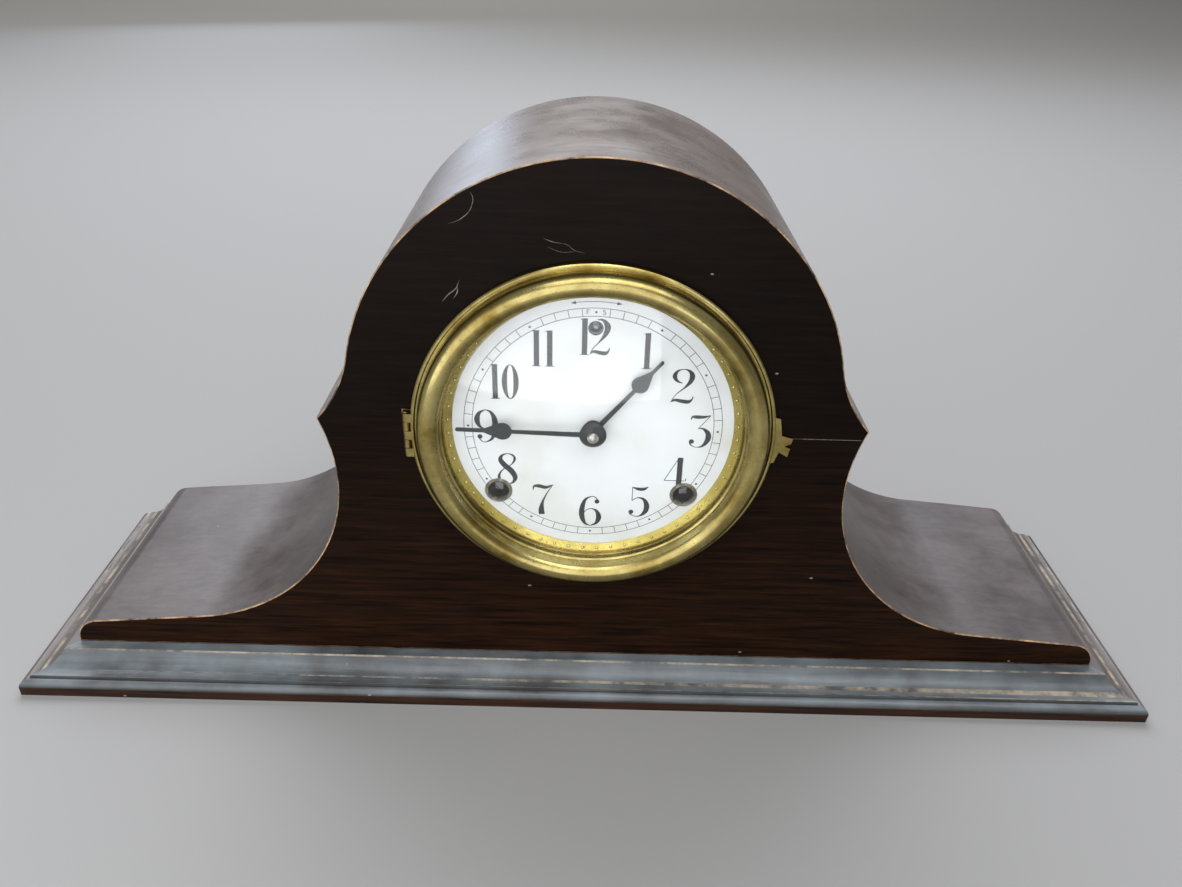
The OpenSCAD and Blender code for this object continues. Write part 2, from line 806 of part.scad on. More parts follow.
// Posts and wood screws that hold the movement to the front board
module movement_feet() {
    color(steel) at_dial() for (p = foot_at) {
        tube(4, foot_screw_r, front_t, plate_y, p);
        rod(foot_screw_r, front_t - foot_bite + 0.5, inner_y, p);
        rod(2.8, inner_y, inner_y + 1.2, p);
    }
}

// Motion work
hour_wheel_y = 12.2;
motion_y = hour_wheel_y - 0.4;
module cannon_pinion() {
    color(steel) at_dial() pinion(12, cannon_m, heading(motion_at), 14.2, plate_y - 1.2, arbor_r);
}
module minute_wheel() {
    color(brass) at_dial() translate([motion_at.x, 0, motion_at.y]) {
        wheel(36, cannon_m, heading(-motion_at), 15.4, 1.2, 1.2 + run_fit, 4);
        pinion(10, hour_m, heading(-motion_at), motion_y, 15.4, 1.2 + run_fit);
    }
}
module hour_wheel() {
    color(brass) at_dial() {
        wheel(40, hour_m, heading(motion_at), hour_wheel_y, 1.2, arbor_r + run_fit, 6);
        tube(pipe_r, arbor_r + run_fit, hour_y, hour_wheel_y);
    }
}
regulator_r = 1.2;
module regulator_arbor() {
    color(steel) at_dial() {
        rod(regulator_r, 9, 28, [0, regulator_up]);
        translate([-0.7, seat_y + 0.2, regulator_up - 0.7]) cube([1.4, 2, 1.4]);
        for (y = [plate_y - 1.4, inner_y + 0.4]) rod(2.4, y, y + 1, [0, regulator_up]);
    }
}

// Barrel-less mainspring, a strip coiled between arbor and rim
spring_turns = 7;
spring_strip = 0.45;
module mainspring() {
    steps = 24 * spring_turns;
    start = winding_r + 1.2;
    grow = (spring_r - spring_strip - start) / steps;
    color(steel) upright(spring_y, spring_y + spring_w) polygon(concat(
        [for (i = [0 : steps]) (start + grow * i) * dir(15 * i)],
        [for (i = [steps : -1 : 0]) (start + grow * i + spring_strip) * dir(15 * i)]
    ));
}
spring_y = great_y + great_t + 3.5;
module train_side(s) { translate([s * winding_x, 0, -winding_drop]) children(); }
module winding_arbor() {
    color(steel) {
        rod(winding_r, inner_y + 0.3, outer_y - 0.3);
        rod(winding_r - 0.3, plate_y - 0.6, inner_y + 0.3);
        rod(winding_r - 0.3, outer_y - 0.3, rear_y + 1);
        translate([-1.7, seat_y + 2.9, -1.7]) cube([3.4, plate_y - seat_y - 3.4, 3.4]);
        upright(great_y + great_t + 0.3, great_y + great_t + 1.8)
            polygon(teeth(18, 2 * ratchet_r / 18, 0, 0, 1.4, 0.02, 0.4));
    }
}
module great_wheel(towards) {
    color(brass) {
        wheel(84, great_m, towards, great_y, great_t, winding_r + run_fit, 5, 7);
        // click riveted beside the ratchet, on a spoke
        upright(great_y + great_t, great_y + great_t + 1.8) rotate(54) polygon([
            [ratchet_r + 0.6, -1.2], [ratchet_r + 0.6, 1.2], [ratchet_r + 6, 2.4],
            [ratchet_r + 8, 1], [ratchet_r + 6, -1.6]
        ]);
    }
}
module arbor(r = shaft_r) {
    color(steel) {
        rod(r, inner_y + 0.3, outer_y - 0.3);
        rod(pivot_r, plate_y - 0.3, inner_y + 0.3);
        rod(pivot_r, outer_y - 0.3, rear_y + 0.3);
    }
}
module time_mainspring() { at_dial() train_side(1) mainspring(); }
module strike_mainspring() { at_dial() train_side(-1) mainspring(); }
module time_winding_arbor() { at_dial() train_side(1) winding_arbor(); }
module strike_winding_arbor() { at_dial() train_side(-1) winding_arbor(); }
module time_great_wheel() {
    at_dial() train_side(1) great_wheel(heading(second_at - winding_at));
}
module strike_great_wheel() {
    at_dial() train_side(-1) great_wheel(180 - heading(second_at - winding_at));
}
module second_wheel() {
    at_dial() translate([second_at.x, 0, second_at.y]) {
        arbor();
        color(steel) pinion(12, great_m, heading(winding_at - second_at),
            great_y - 1, great_y + great_t + 1, shaft_r);
        color(brass) wheel(48, second_m, heading(-second_at), second_y, wheel_t, shaft_r);
    }
}
module strike_second_wheel() {
    at_dial() translate([strike_second_at.x, 0, strike_second_at.y]) {
        arbor();
        color(steel) pinion(12, great_m, 180 - heading(winding_at - second_at),
            great_y - 1, great_y + great_t + 1, shaft_r);
        color(brass) wheel(48, second_m, heading(fly_at - strike_second_at),
            strike_wheel_y, wheel_t, shaft_r);
    }
}
module centre_arbor() {
    color(steel) at_dial() {
        rod(arbor_r, minute_y - 1.6, outer_y - 0.3);
        rod(arbor_r - 0.3, minute_y - 3, minute_y - 1.6);
        rod(pivot_r, outer_y - 0.3, rear_y + 0.3);
        pinion(24, second_m, heading(second_at), second_y - 1, centre_pinion_back, arbor_r);
    }
}
centre_wheel_y = great_y + great_t + 2.3;
module centre_wheel() {
    color(brass) at_dial()
        wheel(72, third_m, heading(third_at), centre_wheel_y, wheel_t, arbor_r);
}
third_y = 34;
fine_r = 0.9;
module third_wheel() {
    at_dial() translate([third_at.x, 0, third_at.y]) {
        arbor(fine_r);
        color(steel) pinion(6, third_m, heading(-third_at),
            centre_wheel_y - 0.8, centre_wheel_y + 2, 0.5);
        color(brass) wheel(72, escape_m, heading(escape_at - third_at), third_y, wheel_t, fine_r);
    }
}
escape_y = 44;
module escape_wheel() {
    at_dial() translate([escape_at.x, 0, escape_at.y]) {
        arbor(0.8);
        color(steel) pinion(6, escape_m, heading(third_at - escape_at),
            third_y - 0.8, third_y + 2, 0.5);
        color(brass) upright(escape_y, escape_y + 1) difference() {
            polygon([
                for (i = [0 : 34], k = [0 : 2])
                    [escape_r - 2.2, escape_r, escape_r - 2.2][k]
                        * dir(360 / 35 * (i + [0, 0.62, 0.72][k]))
            ]);
            circle(0.8);
            for (i = [0 : 3]) translate(5.4 * dir(90 * i)) circle(2.6);
        }
    }
}

// Verge, crutch and pendulum swing about one line above the escape wheel
crutch_y = rear_y + 2.5;
rod_y = rear_y + 7.5;
crutch_drop = 30;
module verge() {
    color(steel) at_dial() {
        translate([verge_at.x, 0, verge_at.y]) {
            rod(0.8, plate_y - 0.3, crutch_y + 0.6);
            rod(2.2, escape_y - 0.6, escape_y + 1.6);
            translate([0, crutch_y, -crutch_drop]) cylinder(r = 0.6, h = crutch_drop);
            translate([-1.7, crutch_y - 0.6, -crutch_drop - 0.6]) cube([3.4, 1.2, 1.2]);
            for (s = [-1, 1])
                rod(0.5, crutch_y, rod_y + 1.6, [s * 1.7, -crutch_drop]);
        }
        upright(escape_y, escape_y + 1) translate(escape_at) difference() {
            circle(escape_r + 4);
            circle(escape_r + 1.9);
            rotate(128) square(far);
            rotate(-38) translate([-far, -far]) square([far, far]);
            translate([-far, -far]) square([2 * far, far + (escape_r + 1.9) * sin(38)]);
        }
    }
}
module suspension_post() {
    color(brass) at_dial() {
        rod(2.5, rear_y, rod_y + 2.5, [0, verge_at.y + 10]);
        translate([-0.15, rod_y - 1.5, verge_at.y + pass_gap]) cube([0.3, 3, 10]);
    }
}
module pendulum_rod() {
    color(steel) at_dial() translate([0, rod_y, verge_at.y - pendulum_len - bob_r - 6])
        cylinder(r = 0.8, h = pendulum_len + bob_r + 6 - pass_gap);
}
bob_ball = 40;
bob_t = 9;
module pendulum_bob() {
    color(brass) at_dial() translate([0, rod_y, verge_at.y - pendulum_len]) difference() {
        rotate([90, 0, 0]) rotate_extrude() intersection() {
            translate([0, -bob_t / 2]) square([bob_r, bob_t]);
            translate([0, bob_t / 2 - bob_ball]) circle(bob_ball);
            translate([0, bob_ball - bob_t / 2]) circle(bob_ball);
        }
        translate([0, 0, -far / 2]) cylinder(r = 0.8, h = far);
    }
}

// Strike
module strike_fly() {
    at_dial() translate([fly_at.x, 0, fly_at.y]) {
        arbor(1);
        color(steel) pinion(8, fly_m, heading(strike_second_at - fly_at),
            strike_wheel_y - 0.8, strike_wheel_y + 1.9, 1);
        color(brass) translate([-14, 32, -0.3]) difference() {
            cube([28, 13, 0.6]);
            translate([13.2, -1, -1]) cube([1.6, 20, 3]);
        }
    }
}
gong_y = 86;
gong_mid = 70 - dial_z;
gong_pitch = 7;
hammer_reach = [-gong_r - gong_wire - 0.4, gong_mid];
module strike_hammer() {
    color(steel) at_dial() {
        rod(1.5, second_y, gong_y + 2, hammer_at);
        translate([hammer_at.x, gong_y, hammer_at.y]) rotate([0, 180 + hammer_lean, 0])
            cylinder(r = 0.8, h = hammer_len);
        translate([hammer_reach.x - 9, gong_y, hammer_reach.y]) rotate([0, 90, 0])
            cylinder(r = 4, h = 9);
        translate([hammer_at.x, second_y + 1, hammer_at.y]) rotate([0, 60, 0])
            cylinder(r = 0.6, h = 9);
    }
}
hammer_head = [hammer_reach.x - 5, hammer_reach.y];
hammer_len = norm(hammer_head - hammer_at);
hammer_lean = atan2(hammer_at.x - hammer_head.x, hammer_at.y - hammer_head.y);
// Flat coil of half turns whose centres step from side to side
gong_halves = 8;
gong_end = [gong_pitch / 2 - gong_r + gong_pitch / 2 * (gong_halves - 1), gong_mid];
module gong_shape() {
    translate([0, gong_y, gong_mid]) for (i = [0 : gong_halves - 1]) {
        side = i % 2;
        translate([side * gong_pitch / 2, 0, 0]) rotate([90, 0, 0]) rotate([0, 0, side * 180])
            rotate_extrude(angle = 180) translate([gong_r - gong_pitch / 2 * i, 0])
                circle(gong_wire);
    }
}
module gong_coil() {
    color(steel) at_dial() gong_shape();
}
module gong_stand() {
    post_y = gong_y + gong_wire + 0.3;
    post_top = gong_end.y + 5;
    color(iron) at_dial() {
        translate([gong_end.x - 15, gong_y - 4, base_h - dial_z]) cube([30, 14, 6]);
        translate([gong_end.x - 5, post_y, base_h - dial_z])
            cube([10, 5, post_top + dial_z - base_h]);
        difference() {
            translate([gong_end.x - 5, gong_y - gong_wire - 1.5, gong_end.y - 4])
                cube([10, post_y - gong_y + gong_wire + 2, 8]);
            gong_shape();
        }
    }
}

base_board();
base_moulding_front();
base_moulding_left();
base_moulding_right();
front_board_upper();
front_board_lower();
back_board();
arch_skin();
left_flank_skin();
right_flank_skin();
left_wing_skin();
right_wing_skin();
corner_blocks();
base_screws();
back_door();
door_hinge_case_leaves();
door_hinge_door_leaves();
door_turn_button();
bezel_ring();
bezel_glass();
glass_retainer();
bezel_hinge_leaf();
bezel_hinge_pin();
bezel_latch_tab();
bezel_catch();
reflector_ring();
dial_plate();
winding_hole_ferrules();
hour_hand();
minute_hand();
hand_nut();
hour_wheel();
cannon_pinion();
minute_wheel();
regulator_arbor();
front_plate();
back_plate();
plate_pillars();
pillar_nuts();
movement_feet();
time_mainspring();
time_winding_arbor();
time_great_wheel();
second_wheel();
centre_arbor();
centre_wheel();
third_wheel();
escape_wheel();
verge();
suspension_post();
pendulum_rod();
pendulum_bob();
strike_mainspring();
strike_winding_arbor();
strike_great_wheel();
strike_second_wheel();
strike_fly();
strike_hammer();
gong_coil();
gong_stand();
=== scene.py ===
"""Looks for the tambour mantel clock: stained wood, aged brass, enamel dial and printed numerals."""
import json
from math import cos, pi, radians, sin

import bmesh
import bpy
from mathutils import Matrix, Vector


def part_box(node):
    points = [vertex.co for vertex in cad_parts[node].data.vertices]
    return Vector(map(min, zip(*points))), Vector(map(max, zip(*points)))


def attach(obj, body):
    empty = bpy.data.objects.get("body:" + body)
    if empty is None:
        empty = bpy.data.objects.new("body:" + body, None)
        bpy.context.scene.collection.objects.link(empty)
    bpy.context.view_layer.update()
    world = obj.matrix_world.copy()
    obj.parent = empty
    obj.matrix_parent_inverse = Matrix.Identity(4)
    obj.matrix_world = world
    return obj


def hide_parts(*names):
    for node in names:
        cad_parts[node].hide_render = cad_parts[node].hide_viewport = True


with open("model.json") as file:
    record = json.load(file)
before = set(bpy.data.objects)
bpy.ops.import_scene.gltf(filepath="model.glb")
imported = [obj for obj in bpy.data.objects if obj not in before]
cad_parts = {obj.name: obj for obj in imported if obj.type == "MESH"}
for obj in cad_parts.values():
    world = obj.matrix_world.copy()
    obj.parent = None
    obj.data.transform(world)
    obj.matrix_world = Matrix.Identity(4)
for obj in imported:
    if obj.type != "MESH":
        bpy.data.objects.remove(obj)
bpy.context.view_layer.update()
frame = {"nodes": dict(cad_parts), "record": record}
MM = 0.001
PER_M = 1000
# room for rounding when depths are compared, and how far ink and screw heads stand off a face
SLACK = 0.02 * MM

# ---- places, from the frame
dial_low, dial_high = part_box("dial_plate")
DIAL = Vector(((dial_low.x + dial_high.x) / 2, dial_low.y, (dial_low.z + dial_high.z) / 2))
FACE_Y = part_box("front_board_lower")[0].y
BASE_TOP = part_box("base_board")[1].z
GLUE_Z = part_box("front_board_lower")[1].z
BODY_OF = {node: body for body, nodes in frame["record"]["behaviour"]["bodies"].items() for node in nodes}


# ---- materials
def linear(code):
    """An sRGB hex colour as the linear values that a shader wants."""
    parts = [int(code[i : i + 2], 16) / 255 for i in (0, 2, 4)]
    return [c / 12.92 if c <= 0.04045 else ((c + 0.055) / 1.055) ** 2.4 for c in parts] + [1]


def add(tree, kind, inputs, out=0, stops=(), **settings):
    """Adds a node with its settings and links, and gives back one output. Colours are hex, or greys from
    0 to 1."""
    made = tree.nodes.new("ShaderNode" + kind)
    for key, value in settings.items():
        setattr(made, key, value)
    for key, value in inputs.items():
        if isinstance(value, bpy.types.NodeSocket):
            tree.links.new(value, made.inputs[key])
        else:
            made.inputs[key].default_value = linear(value) if isinstance(value, str) else value
    for count, (place, colour) in enumerate(stops):
        if count > 1:
            made.color_ramp.elements.new(place)
        band = made.color_ramp.elements[count]
        band.position = place
        band.color = linear(colour) if isinstance(colour, str) else [colour] * 3 + [1]
    return made.outputs[out]


def start(name):
    """A new material with its tree, its main shader and the frame's own metres as coordinates."""
    made = bpy.data.materials.new(name)
    made.use_nodes = True
    tree = made.node_tree
    return made, tree, tree.nodes["Principled BSDF"], add(tree, "TexCoord", {}, "Object")


def finish_shader(tree, shader, **values):
    """Links sockets to the main shader, and sets numbers and colours on it."""
    for key, value in values.items():
        socket = shader.inputs[key.replace("_", " ")]
        if isinstance(value, bpy.types.NodeSocket):
            tree.links.new(value, socket)
        else:
            socket.default_value = linear(value) if isinstance(value, str) else value


# the film colour is the grey of the bloom: aged film and dust, and on faces that look up also a painted sheen
def stained_wood(name, deep, light, film, bloom_and_sheen_share, rough, shine, streaky=0.35, grain=(0.05, 1, 1),
                 upper=1.0):
    """Close-grained hardwood under black-brown stain and old rubbed shellac. The eye sees fine streaks along
    the grain, a thin grey bloom of aged film and dust that is also a painted sheen on faces that look up,
    and a few nicks and specks."""
    made, tree, shader, here = start(name)
    grain_mm, pore_mm, cloud_mm, speck_mm = 2.2, 0.7, 38.0, 8.0
    foot, crown = 20 * MM, 150 * MM
    chip_size, chip_share, chip_bareness = 0.055, 0.16, 0.55
    along = add(tree, "Mapping", {"Vector": here, "Scale": grain})
    figure = add(tree, "TexNoise", {"Vector": along, "Scale": PER_M / grain_mm, "Detail": 6,
                                    "Roughness": 0.6, "Distortion": 0.3})
    pores = add(tree, "TexNoise", {"Vector": along, "Scale": PER_M / pore_mm, "Detail": 3, "Roughness": 0.7})
    clouds = add(tree, "TexNoise", {"Vector": here, "Scale": PER_M / cloud_mm, "Detail": 4, "Roughness": 0.6})
    streaks = add(tree, "ValToRGB", {"Fac": figure}, stops=((0.30, 0.0), (0.78, 1.0)))
    height_up = add(tree, "SeparateXYZ", {"Vector": here}, "Z")
    # the streaks fade towards the crown, so the upper wood is darker and more of the brown shows towards the
    # foot
    paler = add(tree, "MapRange", {"Value": height_up, "From Min": foot, "From Max": crown,
                                   "To Min": 1.0, "To Max": upper})
    streaks = add(tree, "Math", {0: streaks, 1: paler}, operation="MULTIPLY")
    stain = add(tree, "Mix", {0: streaks, 6: deep, 7: light}, 2, data_type="RGBA")
    dark_pores = add(tree, "ValToRGB", {"Fac": pores}, stops=((0.36, 0.72), (0.54, 1.0)))
    stain = add(tree, "Mix", {0: 1.0, 6: stain, 7: dark_pores}, 2, data_type="RGBA", blend_type="MULTIPLY")
    # grey bloom: patches of aged film and dust, thicker on faces that look up, where it is also a painted
    # sheen standing in for the lamps' reflection on the tops
    up = add(tree, "SeparateXYZ", {"Vector": add(tree, "NewGeometry", {}, "Normal")}, "Z")
    up_dust_and_sheen = add(tree, "MapRange", {"Value": up, "From Min": 0.0, "From Max": 0.85, "To Min": 0.05,
                                       "To Max": 1.0})
    patchy = add(tree, "ValToRGB", {"Fac": clouds}, stops=((0.30, 0.25), (0.68, 1.0)))
    rubbed = add(tree, "ValToRGB", {"Fac": figure}, stops=((0.30, streaky), (0.62, 1.0)))
    bloom_and_sheen = add(tree, "Math", {0: patchy, 1: rubbed}, operation="MULTIPLY")
    bloom_and_sheen = add(tree, "Math", {0: bloom_and_sheen, 1: up_dust_and_sheen}, operation="MULTIPLY")
    bloom_and_sheen = add(tree, "Math", {0: bloom_and_sheen, 1: bloom_and_sheen_share}, operation="MULTIPLY")
    colour = add(tree, "Mix", {0: bloom_and_sheen, 6: stain, 7: film}, 2, data_type="RGBA")
    # specks: small chips in the film, a few in every hand's breadth
    stretched = add(tree, "Mapping", {"Vector": here, "Scale": (0.55, 1, 1)})
    cell = add(tree, "TexVoronoi", {"Vector": stretched, "Scale": PER_M / speck_mm}, "Distance")
    near = add(tree, "Math", {0: cell, 1: chip_size}, operation="LESS_THAN")
    picked = add(tree, "SeparateColor", {"Color": cell.node.outputs["Color"]})
    few = add(tree, "Math", {0: picked, 1: chip_share}, operation="LESS_THAN")
    specks = add(tree, "Math", {0: near, 1: few}, operation="MULTIPLY")
    specks = add(tree, "Math", {0: specks, 1: chip_bareness}, operation="MULTIPLY")
    colour = add(tree, "Mix", {0: specks, 6: colour, 7: "A79C90"}, 2, data_type="RGBA")
    # the film is smoother over the dark, and matt where it has bloomed or worn
    sheen = add(tree, "MapRange", {"Value": clouds, "From Min": 0.3, "From Max": 0.7, "To Min": rough - 0.06,
                                   "To Max": rough + 0.10})
    height = add(tree, "Math", {0: figure, 1: pores}, operation="ADD")
    ripple = add(tree, "Bump", {"Height": height, "Distance": 0.06 * MM, "Strength": 0.5})
    finish_shader(tree, shader, Base_Color=colour, Roughness=sheen, Normal=ripple, Specular_IOR_Level=shine)
    return made


def rubbed_arris(name, bare, stained):
    """A corner that hands and dusters have rubbed through the stain: pale wood in broken lengths."""
    made, tree, shader, here = start(name)
    length_mm, fibre_mm = 16, 0.6
    lengths = add(tree, "TexNoise", {"Vector": here, "Scale": PER_M / length_mm, "Detail": 6,
                                     "Roughness": 0.75})
    colour = add(tree, "ValToRGB", {"Fac": lengths}, stops=((0.40, stained), (0.62, bare)))
    fibre = add(tree, "TexNoise", {"Vector": here, "Scale": PER_M / fibre_mm, "Detail": 3})
    ripple = add(tree, "Bump", {"Height": fibre, "Distance": 0.05 * MM, "Strength": 0.6})
    finish_shader(tree, shader, Base_Color=colour, Roughness=0.6, Normal=ripple)
    return made


def raw_pine(name):
    """Plain softwood board, sawn and never polished: matt brown, with darker growth lines along it."""
    made, tree, shader, here = start(name)
    # a wave texture draws about six lines, dark and light together, in each unit
    line_mm, drift_mm, fibre_mm, wave_lines = 3.5, 40, 0.8, 6
    along = add(tree, "Mapping", {"Vector": here, "Scale": (0.06, 1, 1)})
    drift = add(tree, "TexNoise", {"Vector": along, "Scale": PER_M / drift_mm, "Detail": 3})
    bands = add(tree, "TexWave", {"Vector": along, "Scale": PER_M / line_mm / wave_lines, "Distortion": 5,
                                  "Detail": 3, "Detail Scale": 1.5}, bands_direction="Z")
    fibre = add(tree, "TexNoise", {"Vector": along, "Scale": PER_M / fibre_mm, "Detail": 4, "Roughness": 0.7})
    colour = add(tree, "ValToRGB", {"Fac": bands},
                 stops=((0.1, "5A4029"), (0.55, "6E5036"), (0.95, "785839")))
    dirt = add(tree, "ValToRGB", {"Fac": drift}, stops=((0.3, 0.62), (0.7, 1.0)))
    colour = add(tree, "Mix", {0: 1.0, 6: colour, 7: dirt}, 2, data_type="RGBA", blend_type="MULTIPLY")
    ripple = add(tree, "Bump", {"Height": fibre, "Distance": 0.12 * MM, "Strength": 0.7})
    finish_shader(tree, shader, Base_Color=colour, Roughness=0.78, Normal=ripple)
    return made


def aged_brass(name, bright, dull, rough, spun=0.0, tint="6E6A3A"):
    """Brass that was spun or rolled, lacquered once and left to tarnish: gold with browner clouds, fine
    turning lines round the dial where it was spun, and darker freckles."""
    made, tree, shader, here = start(name)
    cloud_mm, spot_mm, line_mm, wave_lines = 26.0, 1.6, 0.8, 6.3
    clouds = add(tree, "TexNoise", {"Vector": here, "Scale": PER_M / cloud_mm, "Detail": 6,
                                    "Roughness": 0.62})
    spots = add(tree, "TexNoise", {"Vector": here, "Scale": PER_M / spot_mm, "Detail": 3, "Roughness": 0.6})
    tarnish = add(tree, "ValToRGB", {"Fac": clouds}, stops=((0.34, 0.0), (0.66, 1.0)))
    colour = add(tree, "Mix", {0: tarnish, 6: bright, 7: dull}, 2, data_type="RGBA")
    freckles = add(tree, "ValToRGB", {"Fac": spots}, stops=((0.60, 0.0), (0.72, 0.7)))
    colour = add(tree, "Mix", {0: freckles, 6: colour, 7: tint}, 2, data_type="RGBA")
    centred = add(tree, "Mapping", {"Vector": here, "Location": (-DIAL.x, 0, -DIAL.z)})
    # turning lines on spun brass are much finer than this, and are drawn coarser to show at all
    lines = add(tree, "TexWave", {"Vector": centred, "Scale": PER_M / line_mm / wave_lines, "Distortion": 0.4,
                                  "Detail": 2},
                wave_type="RINGS", rings_direction="Y")
    rubbed = add(tree, "Math", {0: lines, 1: spun}, operation="MULTIPLY")
    height = add(tree, "Math", {0: rubbed, 1: spots}, operation="ADD")
    ripple = add(tree, "Bump", {"Height": height, "Distance": 0.02 * MM, "Strength": 0.6})
    satin = add(tree, "MapRange", {"Value": clouds, "From Min": 0.3, "From Max": 0.7, "To Min": rough - 0.07,
                                   "To Max": rough + 0.12})
    finish_shader(tree, shader, Base_Color=colour, Metallic=1.0, Roughness=satin, Normal=ripple)
    return made


def turned_steel(name, colour, rough, stain="5A4636"):
    """Steel turned or drawn to size and lightly oiled: grey with brown fingermarks and fine drag lines."""
    made, tree, shader, here = start(name)
    mark_mm, drag_mm = 9, 0.7
    marks = add(tree, "TexNoise", {"Vector": here, "Scale": PER_M / mark_mm, "Detail": 5, "Roughness": 0.6})
    drag = add(tree, "TexNoise", {"Vector": add(tree, "Mapping", {"Vector": here, "Scale": (1, 0.08, 1)}),
                                  "Scale": PER_M / drag_mm, "Detail": 3})
    rust = add(tree, "ValToRGB", {"Fac": marks}, stops=((0.58, 0.0), (0.78, 0.6)))
    shade = add(tree, "Mix", {0: rust, 6: colour, 7: stain}, 2, data_type="RGBA")
    satin = add(tree, "MapRange", {"Value": marks, "To Min": rough, "To Max": rough + 0.2})
    ripple = add(tree, "Bump", {"Height": drag, "Distance": 0.02 * MM, "Strength": 0.6})
    finish_shader(tree, shader, Base_Color=shade, Metallic=1.0, Roughness=satin, Normal=ripple)
    return made


def blacked_steel(name):
    """Hands blacked in hot oil: a dark grey-green skin, slightly mottled, dull with a soft glint."""
    made, tree, shader, here = start(name)
    mottle_mm = 1.8
    mottle = add(tree, "TexNoise", {"Vector": here, "Scale": PER_M / mottle_mm, "Detail": 5,
                                    "Roughness": 0.7})
    colour = add(tree, "ValToRGB", {"Fac": mottle}, stops=((0.35, "0F1312"), (0.65, "272D2B")))
    ripple = add(tree, "Bump", {"Height": mottle, "Distance": 0.03 * MM, "Strength": 0.6})
    finish_shader(tree, shader, Base_Color=colour, Metallic=0.3, Roughness=0.46, Normal=ripple)
    return made


def stove_enamel(name):
    """White stoved enamel on sheet brass: cool, nearly even, satin, with faint stains and flecks."""
    made, tree, shader, here = start(name)
    stain_mm, fleck_mm = 34, 2.2
    stains = add(tree, "TexNoise", {"Vector": here, "Scale": PER_M / stain_mm, "Detail": 5,
                                    "Roughness": 0.55})
    fleck = add(tree, "TexNoise", {"Vector": here, "Scale": PER_M / fleck_mm, "Detail": 3, "Roughness": 0.5})
    colour = add(tree, "ValToRGB", {"Fac": stains},
                 stops=((0.30, "D6D4CD"), (0.50, "E2E2E0"), (0.72, "E8E9E9")))
    flecks = add(tree, "ValToRGB", {"Fac": fleck}, stops=((0.70, 0.0), (0.80, 0.35)))
    colour = add(tree, "Mix", {0: flecks, 6: colour, 7: "B9B6A6"}, 2, data_type="RGBA")
    ripple = add(tree, "Bump", {"Height": fleck, "Distance": 0.01 * MM, "Strength": 0.3})
    finish_shader(tree, shader, Base_Color=colour, Roughness=0.34, Normal=ripple, Coat_Weight=0.3)
    return made


def printing_ink(name):
    """Black dial ink, transfer printed: matt, a little grey where the print is thin."""
    made, tree, shader, here = start(name)
    thin_mm = 0.9
    thin = add(tree, "TexNoise", {"Vector": here, "Scale": PER_M / thin_mm, "Detail": 4, "Roughness": 0.7})
    colour = add(tree, "ValToRGB", {"Fac": thin}, stops=((0.40, "14181A"), (0.70, "33393A")))
    ripple = add(tree, "Bump", {"Height": thin, "Distance": 0.004 * MM, "Strength": 0.3})
    finish_shader(tree, shader, Base_Color=colour, Roughness=0.55, Normal=ripple)
    return made


def dark_bronze(name):
    """Sheet brass grommets, chemically bronzed: brown-grey, rubbed brighter in patches."""
    made, tree, shader, here = start(name)
    rub_mm = 3
    rub = add(tree, "TexNoise", {"Vector": here, "Scale": PER_M / rub_mm, "Detail": 4, "Roughness": 0.6})
    colour = add(tree, "ValToRGB", {"Fac": rub}, stops=((0.35, "5A5348"), (0.68, "A39B8A")))
    ripple = add(tree, "Bump", {"Height": rub, "Distance": 0.03 * MM, "Strength": 0.5})
    finish_shader(tree, shader, Base_Color=colour, Metallic=0.4, Roughness=0.42, Normal=ripple)
    return made


def japanned_iron(name):
    """Cast iron under black japan: lumpy skin with a tarry shine."""
    made, tree, shader, here = start(name)
    lump_mm = 2.5
    lumps = add(tree, "TexNoise", {"Vector": here, "Scale": PER_M / lump_mm, "Detail": 5, "Roughness": 0.6})
    colour = add(tree, "ValToRGB", {"Fac": lumps}, stops=((0.3, "121213"), (0.7, "242324")))
    ripple = add(tree, "Bump", {"Height": lumps, "Distance": 0.2 * MM, "Strength": 0.6})
    finish_shader(tree, shader, Base_Color=colour, Roughness=0.38, Normal=ripple)
    return made


def blown_glass(name):
    """Clear soda glass, slumped to a shallow dome: nearly colourless, with a wiped film that softens its
    reflection."""
    made, tree, shader, here = start(name)
    smear_mm = 30
    smear = add(tree, "TexNoise", {"Vector": here, "Scale": PER_M / smear_mm, "Detail": 5, "Roughness": 0.6})
    film = add(tree, "MapRange", {"Value": smear, "From Min": 0.35, "From Max": 0.7, "To Min": 0.02,
                                  "To Max": 0.09})
    finish_shader(tree, shader, Base_Color="FBFCFC", Roughness=film, IOR=1.5, Transmission_Weight=1.0)
    through = add(tree, "BsdfTransparent", {"Color": "F8FBFB"})
    shadow = add(tree, "LightPath", {}, "Is Shadow Ray")
    lit = add(tree, "MixShader", {0: shadow, 1: shader.outputs[0], 2: through})
    tree.links.new(lit, tree.nodes["Material Output"].inputs["Surface"])
    return made


